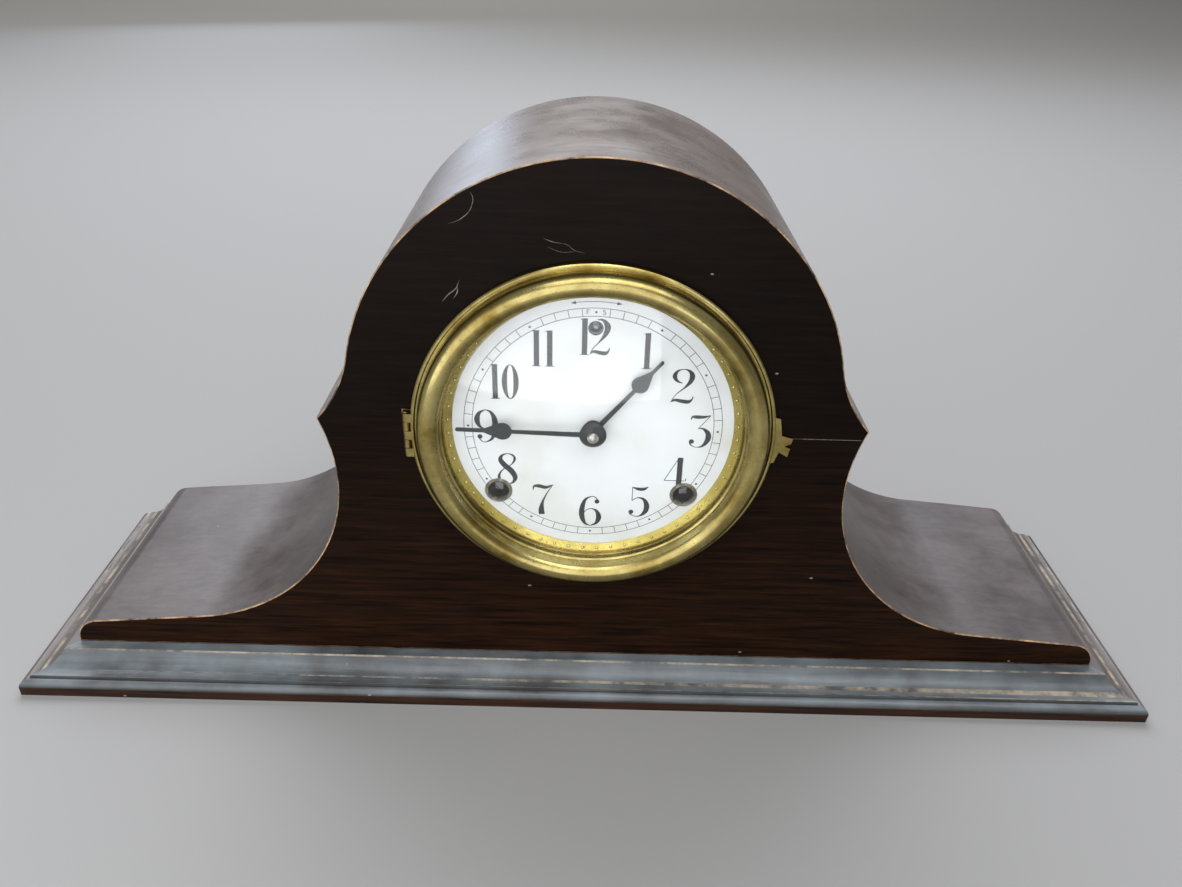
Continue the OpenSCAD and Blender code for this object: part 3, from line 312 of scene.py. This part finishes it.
# the arch, wing, base and base-side copies of the one stained wood are lighter, with heavier grey films than
# the front: a painted sheen for the lamps' reflection on those faces, and on the base a painted blue-grey
# reflection of the cool light from behind
FRONT_WOOD = stained_wood("stained_birch_front", "070402", "371F10", "4A3C30", 0.05, 0.38, 0.07, upper=0.2)
TOP_WOOD_AND_SHEEN = stained_wood("stained_birch_arch_painted_sheen", "2A1B15", "4E372A", "85766A", 0.6, 0.27, 0.9,
                        grain=(0.06, 1, 0.3))
WING_WOOD_AND_SHEEN = stained_wood("stained_birch_wing_painted_sheen", "231A18", "3F312C", "77716F", 0.58, 0.38, 0.6, 0.8,
                         (0.3, 0.7, 0.5))
BASE_WOOD_AND_REFLECTION = stained_wood("stained_birch_base_painted_sheen", "1C1513", "38291F", "828D92", 0.9, 0.34, 0.5, 0.75)
SIDE_WOOD_AND_SHEEN = stained_wood("stained_birch_base_side", "1C1513", "38291F", "77706B", 0.8, 0.36, 0.6, 0.8,
                         (1, 0.05, 1))
BAND_WOOD = stained_wood("stained_birch_band", "120A07", "4A2A16", "5E5850", 0.2, 0.4, 0.25)
BASE_ARRIS = rubbed_arris("rubbed_base_arris", "A89B87", "55534F")
ARRIS_WOOD = rubbed_arris("rubbed_arris", "CBA67C", "3A261A")
SCRATCHED_FILM = rubbed_arris("scratched_film", "8E867C", "2E2621")
PINE = raw_pine("old_pine")
SPUN_BRASS = aged_brass("spun_brass", "C4B577", "7A652B", 0.27, spun=1.0)
BEAD_BRASS = aged_brass("stamped_brass", "D2BF6C", "A8944A", 0.27, spun=0.5, tint="8C7A3A")
RUBBED_BRASS = aged_brass("rubbed_brass", "F3E9B0", "DCCB80", 0.22, tint="C9B468")
ROLLED_BRASS = aged_brass("rolled_brass", "BDA25C", "8D7743", 0.38, tint="6B5830")
STEEL = turned_steel("turned_steel", "9A9C9F", 0.30)
BRIGHT_STEEL = turned_steel("polished_steel", "C9C6BC", 0.20, stain="8A8068")
BLACKED = blacked_steel("oil_blacked_steel")
ENAMEL = stove_enamel("stoved_enamel")
INK = printing_ink("dial_ink")
BRONZE = dark_bronze("bronzed_brass")
JAPAN = japanned_iron("japanned_iron")
GLASS = blown_glass("slumped_glass")

BY_SLOT = {
    "dark_wood": FRONT_WOOD, "raw_wood": PINE, "brass": SPUN_BRASS, "movement_brass": ROLLED_BRASS,
    "steel": STEEL, "hand_steel": BLACKED, "dial_enamel": ENAMEL, "dark_bronze": BRONZE, "glass": GLASS,
    "iron": JAPAN,
}
SLOT_OF = {part["node"]: part["material_slot"] for part in frame["record"]["subparts"]}
OWN_FINISH = {
    "arch_skin": TOP_WOOD_AND_SHEEN, "left_flank_skin": TOP_WOOD_AND_SHEEN, "right_flank_skin": TOP_WOOD_AND_SHEEN,
    "left_wing_skin": WING_WOOD_AND_SHEEN, "right_wing_skin": WING_WOOD_AND_SHEEN, "base_moulding_front": BASE_WOOD_AND_REFLECTION,
    "base_moulding_left": SIDE_WOOD_AND_SHEEN, "base_moulding_right": SIDE_WOOD_AND_SHEEN, "reflector_ring": BEAD_BRASS,
    "hand_nut": BRIGHT_STEEL,
}


def dress(piece, *finishes):
    """Puts on finishes in order. A mesh with none keeps its faces' own numbers."""
    if piece.data.materials:
        piece.data.materials.clear()
    for finish in finishes:
        piece.data.materials.append(finish)


for name, node in frame["nodes"].items():
    dress(node, OWN_FINISH.get(name, BY_SLOT[SLOT_OF[name]]))


# ---- pieces
# corners closer than this are one, and faces that differ by fewer degrees than this are one face
WELD = 0.004 * MM
FLAT = 0.05


def keep(piece, name, body, finishes, replaced=()):
    """Names a new piece, gives it its finishes, and lets it move with its body."""
    piece.name = name
    piece.data.name = name
    dress(piece, *finishes)
    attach(piece, body)
    if replaced:
        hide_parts(*replaced)
    return piece


def from_bmesh(work, crease=None):
    """An object from a bmesh, with smooth faces and creases above an angle in degrees."""
    mesh = bpy.data.meshes.new("piece")
    work.to_mesh(mesh)
    work.free()
    piece = bpy.data.objects.new("piece", mesh)
    bpy.context.scene.collection.objects.link(piece)
    if crease is not None:
        mesh.shade_smooth()
        mesh.set_sharp_from_angle(angle=radians(crease))
        piece.modifiers.new("keep_flats_flat", "WEIGHTED_NORMAL").keep_sharp = True
    return piece


def cleaned(*nodes):
    """The CAD nodes' meshes as one bmesh, with their corners joined up again."""
    work = bmesh.new()
    for node in nodes:
        work.from_mesh(frame["nodes"][node].data)
    bmesh.ops.remove_doubles(work, verts=work.verts, dist=WELD)
    return work


def flattened(work):
    """The bmesh with the edges that only cut a flat face taken out."""
    bmesh.ops.dissolve_limit(work, angle_limit=radians(FLAT), verts=work.verts, edges=work.edges)
    return work


def at_depth(edge, depth):
    """Whether an edge lies at a depth."""
    return all(abs(v.co.y - depth) < SLACK for v in edge.verts)


def sharp(edge, least=25):
    """Whether an edge is an outside corner, turning by more than an angle in degrees."""
    return len(edge.link_faces) == 2 and edge.is_convex and edge.calc_face_angle(0) > radians(least)


def round_over(work, edges, radius, finish_index):
    """Rounds the chosen arrises, and gives the rounding its own finish."""
    made = bmesh.ops.bevel(work, geom=edges, offset=radius * MM, segments=3, profile=0.5, affect="EDGES",
                           clamp_overlap=True)
    for face in made["faces"]:
        face.material_index = finish_index


# the two front boards read as one: the glue faces go, and the arrises of the front face are rounded
board = cleaned("front_board_lower", "front_board_upper")
glued = [f for f in board.faces if all(abs(v.co.z - GLUE_Z) < 0.01 * MM for v in f.verts)]
bmesh.ops.delete(board, geom=glued, context="FACES")
flattened(board)
# the edge faces of the boards take the arch's and wings' copies, with their painted sheen
for face in board.faces:
    above = face.calc_center_median().z > GLUE_Z
    face.material_index = 0 if abs(face.normal.y) > 0.7 else 1 if above else 2
round_over(board, [e for e in board.edges if at_depth(e, FACE_Y) and sharp(e)], 0.6, 3)
keep(from_bmesh(board, 30), "front_board", "case", (FRONT_WOOD, TOP_WOOD_AND_SHEEN, WING_WOOD_AND_SHEEN, ARRIS_WOOD),
     ("front_board_lower", "front_board_upper"))

for name in ("arch_skin", "left_flank_skin", "right_flank_skin", "left_wing_skin", "right_wing_skin"):
    skin = flattened(cleaned(name))
    back = max(v.co.y for v in skin.verts)
    round_over(skin, [e for e in skin.edges if at_depth(e, back) and sharp(e)], 0.5, 1)
    keep(from_bmesh(skin, 30), name + "_eased", "case", (OWN_FINISH[name], ARRIS_WOOD), (name,))

# the moulding: rubbed bright on the ledge's corner and at the cove's foot, and plain brown on the lower band
BAND_TOP, FOOT_LOW, FOOT_HIGH, LEDGE_LOW = 4.5 * MM, 8.55 * MM, 8.9 * MM, BASE_TOP - 0.75 * MM
# the moulding's upper faces take the base copy, with its painted blue-grey reflection
for name in ("base_moulding_front", "base_moulding_left", "base_moulding_right"):
    moulding = flattened(cleaned(name))
    for face in moulding.faces:
        height = face.calc_center_median().z
        rubbed = FOOT_LOW < height < FOOT_HIGH or LEDGE_LOW < height < BASE_TOP - 0.01 * MM
        face.material_index = 1 if rubbed else 2 if height < BAND_TOP else 0
    corners = [e for e in moulding.edges if sharp(e, 60) and max(v.co.z for v in e.verts) > MM]
    round_over(moulding, corners, 0.4, 1)
    keep(from_bmesh(moulding, 30), name + "_eased", "case",
         (OWN_FINISH[name], BASE_ARRIS, BAND_WOOD), (name,))

# a door and a back of sawn pine, with their corners knocked off
for name in ("back_door", "back_board"):
    panel = flattened(cleaned(name))
    back = max(v.co.y for v in panel.verts)
    round_over(panel, [e for e in panel.edges if at_depth(e, back) and sharp(e)], 0.4, 0)
    keep(from_bmesh(panel, 30), name + "_eased", BODY_OF[name], (PINE,), (name,))


# ---- ink and scratches: flat ribbons laid on a face, in millimetres from the dial's centre
def on_dial(x, z, depth):
    """A point at a depth, from its place across and above the dial's centre."""
    return Vector((DIAL.x + x * MM, depth, DIAL.z + z * MM))


def smooth(points, steps=6):
    """A line through the points that turns smoothly at each, carrying its width along."""
    ends = [points[0], *points, points[-1]]
    line = []
    for a, b, c, d in zip(ends, ends[1:], ends[2:], ends[3:]):
        for t in (step / steps for step in range(steps)):
            line.append([
                (2 * q + (r - p) * t + (2 * p - 5 * q + 4 * r - s) * t**2
                 + (3 * q - p - 3 * r + s) * t**3) / 2
                for p, q, r, s in zip(a, b, c, d)
            ])
    return line + [points[-1]]


def ribbon(work, line, depth, closed=False):
    """A flat strip along a line of x, z and width."""
    rungs = []
    last = len(line) - 1
    for i, (x, z, width) in enumerate(line):
        before = line[i - 1] if i or closed else line[i]
        after = line[i + 1] if i < last else line[0] if closed else line[i]
        along = Vector((after[0] - before[0], after[1] - before[1])).normalized() * width / 2
        rungs.append([work.verts.new(on_dial(x + s * along.y, z - s * along.x, depth)) for s in (1, -1)])
    for (a, b), (c, d) in zip(rungs, rungs[1:] + (rungs[:1] if closed else [])):
        work.faces.new((a, b, d, c))


def ring_line(x, z, wide, tall, thin, thick, steps=48):
    """An oval drawn with a broad nib: thin at the top and bottom, thick at the sides."""
    turns = (2 * pi * i / steps for i in range(steps))
    return [(x + wide * sin(t), z + tall * cos(t), thin + (thick - thin) * abs(sin(t)) ** 1.7) for t in turns]


def spot(work, x, z, radius, depth, sides=28):
    """A round dot."""
    turns = [2 * pi * i / sides for i in range(sides)]
    work.faces.new([work.verts.new(on_dial(x + radius * cos(t), z + radius * sin(t), depth)) for t in turns])


def face_out(work):
    """Turns flat faces to look out of the dial."""
    for face in work.faces:
        face.normal_update()
        if face.normal.y > 0:
            face.normal_flip()


HAIR = 0.34
BAR = [(-4.6, -7.4, 0.5), (-2.8, -6.4, 1.2), (0, -6.9, 1.7), (2.6, -7.1, 1.7), (4.1, -6.1, 0.8),
       (4.6, -4.5, 0.3)]
# each numeral is 16 mm tall: its strokes as x, z and width, then its ball ends as x, z and radius
ONE = ([[(0, -7.9, 2.2), (0, 7.9, 2.2)], [(-1.9, -7.85, HAIR), (1.9, -7.85, HAIR)],
        [(-1.8, 7.5, HAIR), (1.1, 7.85, HAIR)]], [])
SIX = ([[(3.1, 5.8, 0.5), (2.0, 7.4, 0.45), (0.2, 7.8, 0.4), (-2.5, 6.0, 1.3), (-3.8, 1.6, 2.3),
         (-3.8, -2.8, 2.4), (-2.4, -6.5, 1.3), (0, -7.8, HAIR)],
        [(-3.0, -0.9, HAIR), (-1.5, 0.9, 0.4), (0.6, 1.3, 0.5), (2.7, 0.1, 1.4), (3.7, -3.1, 2.4),
         (2.6, -6.3, 1.4), (0, -7.8, HAIR)]], [(2.7, 5.2, 1.1)])
NUMERALS = {
    "1": ONE,
    "2": ([[(-0.2, 1.5, HAIR), (-2.4, 2.4, 1.1), (-3.6, 4.6, 1.9), (-2.5, 6.9, 1.0), (0, 7.8, HAIR),
            (2.5, 6.9, 1.3), (3.6, 4.6, 2.3), (2.8, 1.9, 1.7), (0.6, -0.8, 0.7), (-2.4, -3.6, HAIR),
            (-4.2, -6.6, HAIR)], BAR], []),
    "3": ([[(-4.1, 5.4, 0.3), (-3.6, 6.9, 1.0), (-1.6, 6.9, 1.7), (1.4, 7.0, 1.2), (4.0, 7.8, 0.3)],
           [(4.0, 7.8, HAIR), (-0.7, 1.4, HAIR)],
           [(-0.8, 1.3, HAIR), (1.3, 1.3, 0.9), (3.5, -0.9, 2.2), (3.6, -4.0, 2.3), (1.8, -6.9, 1.2),
            (-0.8, -7.8, HAIR), (-3.2, -6.9, 0.5), (-4.1, -5.2, 0.6)]], [(-3.2, -5.0, 1.1)]),
    "4": ([[(1.6, -7.9, 2.4), (1.6, 7.9, 2.4)], [(1.0, 7.8, HAIR), (-4.9, -3.9, HAIR)],
           [(-4.9, -3.9, HAIR), (4.6, -3.9, HAIR)], [(4.4, -4.0, 0.5), (4.6, -2.5, 0.3)],
           [(-0.8, -7.85, HAIR), (4.0, -7.85, HAIR)]], []),
    "5": ([[(-3.0, 7.6, 0.3), (-0.2, 6.7, 1.6), (2.2, 6.8, 1.5), (4.0, 8.0, 0.3)],
           [(-2.9, 7.6, HAIR), (-2.9, 0.5, HAIR)],
           [(-2.9, 0.6, HAIR), (-0.6, 2.1, 0.5), (2.2, 1.4, 1.3), (3.7, -1.8, 2.4), (3.2, -5.1, 2.1),
            (1.0, -7.4, 0.8), (-1.6, -7.7, HAIR), (-3.8, -6.3, 0.6)]], [(-3.1, -5.4, 1.1)]),
    "6": SIX,
    "7": ([[(-4.4, 4.8, 0.3), (-4.0, 6.8, 1.0), (-1.8, 7.0, 1.8), (1.2, 6.4, 1.6), (4.3, 7.8, HAIR)],
           [(4.3, 7.8, HAIR), (1.7, 3.4, 0.5), (-0.2, -1.2, 1.1), (-0.8, -5.0, 2.4), (-0.6, -7.9, 2.7)]], []),
    "8": ([[(0.3, 7.8, HAIR), (-2.1, 6.9, 1.0), (-3.0, 4.7, 2.0), (-1.3, 1.9, 2.5), (1.6, -1.0, 2.6),
            (3.2, -4.2, 2.2), (2.2, -6.9, 1.0), (-0.2, -7.8, HAIR)],
           [(0.3, 7.8, HAIR), (2.5, 6.8, 0.9), (3.1, 4.8, 1.1), (1.6, 2.2, 0.5), (-1.4, 0.2, 0.4),
            (-3.4, -2.4, 0.9), (-3.7, -5.0, 1.3), (-2.3, -7.2, 0.8), (-0.2, -7.8, HAIR)]], []),
    "9": ([[(-x, -z, width) for x, z, width in stroke] for stroke in SIX[0]],
          [(-x, -z, r) for x, z, r in SIX[1]]),
    "10": ([[(x - 4.4, z, width) for x, z, width in stroke] for stroke in ONE[0]], []),
    "11": ([[(x + side, z, width) for x, z, width in stroke] for side in (-2.7, 2.7) for stroke in ONE[0]],
           []),
    "12": ([[(x - 4.4, z, width) for x, z, width in stroke] for stroke in ONE[0]]
           + [[(0.6, 7.5, HAIR), (3.0, 7.2, 1.2), (4.7, 4.6, 2.5), (4.0, 1.4, 1.9), (1.5, -2.2, 0.6),
               (-1.0, -5.1, HAIR), (-1.8, -6.6, HAIR)],
              [(x * 0.85 + 1.8, z, width) for x, z, width in BAR]], []),
}
INK_Y = DIAL.y - SLACK
NUMERAL_R, NUMERAL_R_LEVEL = 42.2, 45.3
TRACK_IN, TRACK_OUT, TRACK_LINE, TRACK_DOT = 51.1, 54.6, 0.26, 0.5
TRACK_MID = (TRACK_IN + TRACK_OUT) / 2
REGULATOR_UP, REGULATOR_RIM, RIM_LINE = 46, 2.75, 0.7
print_work = bmesh.new()
for hour in range(1, 13):
    reach = NUMERAL_R_LEVEL if hour in (3, 9) else NUMERAL_R
    mid_x, mid_z = reach * sin(hour * pi / 6), reach * cos(hour * pi / 6)
    strokes, balls = NUMERALS[str(hour)]
    for stroke in strokes:
        ribbon(print_work, smooth([(mid_x + x, mid_z + z, width) for x, z, width in stroke]), INK_Y)
    for x, z, radius in balls:
        spot(print_work, mid_x + x, mid_z + z, radius, INK_Y)
    if hour == 10:
        ribbon(print_work, ring_line(mid_x + 1.9, mid_z, 2.4, 7.75, HAIR, 2.2), INK_Y, True)
    spot(print_work, TRACK_MID * sin(hour * pi / 6), TRACK_MID * cos(hour * pi / 6), TRACK_DOT, INK_Y)
# the ball of the twelve's second figure is the hole for the regulating arbor, with a printed rim
ribbon(print_work, ring_line(0, REGULATOR_UP, REGULATOR_RIM, REGULATOR_RIM, RIM_LINE, RIM_LINE), INK_Y, True)
for radius in (TRACK_IN, TRACK_OUT):
    ribbon(print_work, ring_line(0, 0, radius, radius, TRACK_LINE, TRACK_LINE, 240), INK_Y, True)
for minute in range(60):
    if minute % 5:
        turn = minute * pi / 30
        ribbon(print_work, [(r * sin(turn), r * cos(turn), TRACK_LINE) for r in (TRACK_IN, TRACK_OUT)], INK_Y)
# F and S beside the dot, and the arrow over them, show which way to regulate
for stroke in ([(-3.7, 51.9, 0.3), (-3.7, 53.9, 0.3)], [(-3.8, 53.8, 0.25), (-2.7, 53.8, 0.25)],
               [(-3.8, 52.9, 0.25), (-2.9, 52.9, 0.25)],
               [(3.8, 53.5, 0.25), (3.2, 53.9, 0.25), (2.7, 53.4, 0.3), (3.3, 52.9, 0.3), (3.8, 52.3, 0.3),
                (3.2, 51.9, 0.25), (2.6, 52.2, 0.25)]):
    ribbon(print_work, smooth(stroke), INK_Y)
ARROW_R = 57.3
arc = [(ARROW_R * sin(radians(a)), ARROW_R * cos(radians(a)), TRACK_LINE) for a in range(-9, 10)]
ribbon(print_work, arc, INK_Y)
for side in (-1, 1):
    tip, root = radians(10.2 * side), radians(8.2 * side)
    head = [(ARROW_R * sin(turn), ARROW_R * cos(turn), width) for turn, width in ((root, 1.5), (tip, 0.05))]
    ribbon(print_work, head, INK_Y)
face_out(print_work)
keep(from_bmesh(print_work), "dial_printing", BODY_OF["dial_plate"], (INK,))

# scratches and the opened glue line, cut through the film to bare wood
marks = bmesh.new()
CUT_Y = FACE_Y - SLACK
for scratch in (
    [(-56, 89, 0.1), (-52, 90.5, 0.35), (-48, 94, 0.5), (-46.5, 98.5, 0.4), (-47.5, 101, 0.1)],
    [(-21, 84.5, 0.1), (-17, 83, 0.5), (-12, 82.2, 0.3), (-9, 80, 0.5), (-5, 79, 0.1)],
    [(-19, 81, 0.1), (-14, 79.2, 0.3), (-9, 79.5, 0.1)],
    [(-60, 58, 0.1), (-57.5, 61, 0.6), (-54.5, 63.5, 0.5), (-53, 67, 0.1)],
    [(-55.5, 59.5, 0.1), (-54, 62, 0.5), (-53.8, 64.5, 0.1)],
):
    ribbon(marks, smooth([(x, z, width * 0.55) for x, z, width in scratch]), CUT_Y)
seam_z = (GLUE_Z - DIAL.z) / MM
latch_end = (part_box("bezel_latch_tab")[1].x - DIAL.x) / MM
cusp_end = (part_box("front_board_upper")[1].x - DIAL.x) / MM - 2.6
seam = [(latch_end - 3, seam_z, 0.3), (latch_end + 8, seam_z, 0.45), (cusp_end - 12, seam_z, 0.3),
        (cusp_end, seam_z, 0.15)]
ribbon(marks, smooth(seam), CUT_Y)
face_out(marks)
keep(from_bmesh(marks), "face_scratches", "case", (SCRATCHED_FILM,))

# ---- raised dots stamped round the reflector ring
BEADS, BEAD_R, BEAD_SIZE, BEAD_BACK = 60, 61.4, 0.75, 1.25
ring_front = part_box("reflector_ring")[0].y
bead_depth = ring_front + BEAD_BACK * MM
beads = bmesh.new()
for i in range(BEADS):
    turn = 2 * pi * (i + 0.5) / BEADS
    here = Matrix.Translation(on_dial(BEAD_R * sin(turn), BEAD_R * cos(turn), bead_depth))
    bmesh.ops.create_icosphere(beads, subdivisions=2, radius=BEAD_SIZE * MM, matrix=here)
keep(from_bmesh(beads, 60), "reflector_dots", BODY_OF["reflector_ring"], (RUBBED_BRASS,))


# ---- slotted screw heads, as turned blanks with a cut across
def screw(name, place, radius_mm, facing, body, turn):
    """A round-headed brass screw whose head faces along -Y or +Y, with its slot turned by an angle."""
    head = bmesh.new()
    rise = 0.45 * radius_mm
    slot_side, slot_end, slot_floor = 0.16 * radius_mm * MM, 0.99 * radius_mm * MM, 0.3
    bmesh.ops.create_uvsphere(head, u_segments=32, v_segments=12, radius=radius_mm * MM,
                              matrix=Matrix.Diagonal((1, rise / radius_mm, 1, 1)))
    for vert in head.verts:
        along = vert.co.x * cos(turn) + vert.co.z * sin(turn)
        across = -vert.co.x * sin(turn) + vert.co.z * cos(turn)
        if abs(across) < slot_side and abs(along) < slot_end:
            vert.co.y *= slot_floor
    piece = from_bmesh(head, 50)
    piece.location = Vector(place) + Vector((0, facing * SLACK, 0))
    return keep(piece, name, body, (ROLLED_BRASS,))


button_low, button_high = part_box("door_turn_button")
screw("button_screw", ((button_low.x + button_high.x) / 2, button_high.y, (button_low.z + button_high.z) / 2),
      2.2, 1, "button", 0.6)
leaf_low, leaf_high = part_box("door_hinge_case_leaves")
HOLE_IN, LEAF_T = 4.5 * MM, 0.8 * MM
for level, (height, turn) in enumerate(((0.04, 0.3), (0.145, 1.9), (0.855, 1.1), (0.96, 2.6))):
    screw(f"door_hinge_screw_{level + 1}",
          (leaf_low.x + HOLE_IN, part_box("back_board")[1].y + LEAF_T,
           leaf_low.z + (leaf_high.z - leaf_low.z) * height), 1.5, 1, "case", turn)

# ---- camera: angles in degrees, the lens and its sensor in millimetres
TILT, HEADING, ROLL = 30.409, 0.321, 1.648
EYE = (-2.58 * MM, -388.9 * MM, 333.0 * MM)
FOCAL, SENSOR = 28.489, 36
lens = bpy.data.cameras.new("camera")
lens.lens = FOCAL
lens.sensor_width = SENSOR
camera = bpy.data.objects.new("camera", lens)
bpy.context.scene.collection.objects.link(camera)
camera.matrix_world = (
    Matrix.Translation(EYE)
    @ Matrix.Rotation(radians(-HEADING), 4, "Z")
    @ Matrix.Rotation(radians(90 - TILT), 4, "X")
    @ Matrix.Rotation(radians(ROLL), 4, "Z")
)
bpy.context.scene.camera = camera

# ---- floor and lights
FLOOR_SIDE, FLOOR_FRONT, FLOOR_BACK = 6, -4, 8
floor_mesh = bpy.data.meshes.new("floor")
corners = [(-FLOOR_SIDE, FLOOR_FRONT, 0), (FLOOR_SIDE, FLOOR_FRONT, 0), (FLOOR_SIDE, FLOOR_BACK, 0),
           (-FLOOR_SIDE, FLOOR_BACK, 0)]
floor_mesh.from_pydata(corners, [], [(0, 1, 2, 3)])
floor = bpy.data.objects.new("floor", floor_mesh)
bpy.context.scene.collection.objects.link(floor)
paper, paper_tree, paper_shader, _ = start("pale_paper")
finish_shader(paper_tree, paper_shader, Base_Color="999896", Roughness=0.9)
dress(floor, paper)


def soft_light(name, place, target, width, height, watts, colour):
    """An oblong area light, in metres and watts, that looks at a target."""
    data = bpy.data.lights.new(name, "AREA")
    data.shape = "RECTANGLE"
    data.size = width
    data.size_y = height
    data.energy = watts
    data.color = linear(colour)[:3]
    lamp = bpy.data.objects.new(name, data)
    aim = (Vector(target) - Vector(place)).to_track_quat("-Z", "Y")
    lamp.matrix_world = Matrix.Translation(place) @ aim.to_matrix().to_4x4()
    bpy.context.scene.collection.objects.link(lamp)


soft_light("overhead", (-0.05, 1.2, 1.45), (0, 0, 0.1), 2.4, 1.3, 34, "EEF2FF")
soft_light("window", (-0.34, -0.54, 0.27), (-0.28, 0, 0.27), 1.1, 0.54, 3.6, "F8FAFF")
soft_light("front_above", (0.2, -0.95, 2.0), (0, 0, 0.1), 2.0, 1.2, 27, "FCFDFF")
soft_light("back_window", (-0.95, 2.4, 0.60), (0, 0, 0.2), 0.75, 0.8, 4.2, "DCEAFF")
soft_light("far_floor", (-0.6, 4.2, 2.6), (-0.4, 4.2, 0), 6.0, 3.0, 84, "FFFDFA")
sky = bpy.data.worlds.new("studio")
sky.use_nodes = True
sky.node_tree.nodes["Background"].inputs["Color"].default_value = linear("D8D8D8")
sky.node_tree.nodes["Background"].inputs["Strength"].default_value = 0.34
bpy.context.scene.world = sky
bpy.context.scene.view_settings.view_transform = "Standard"
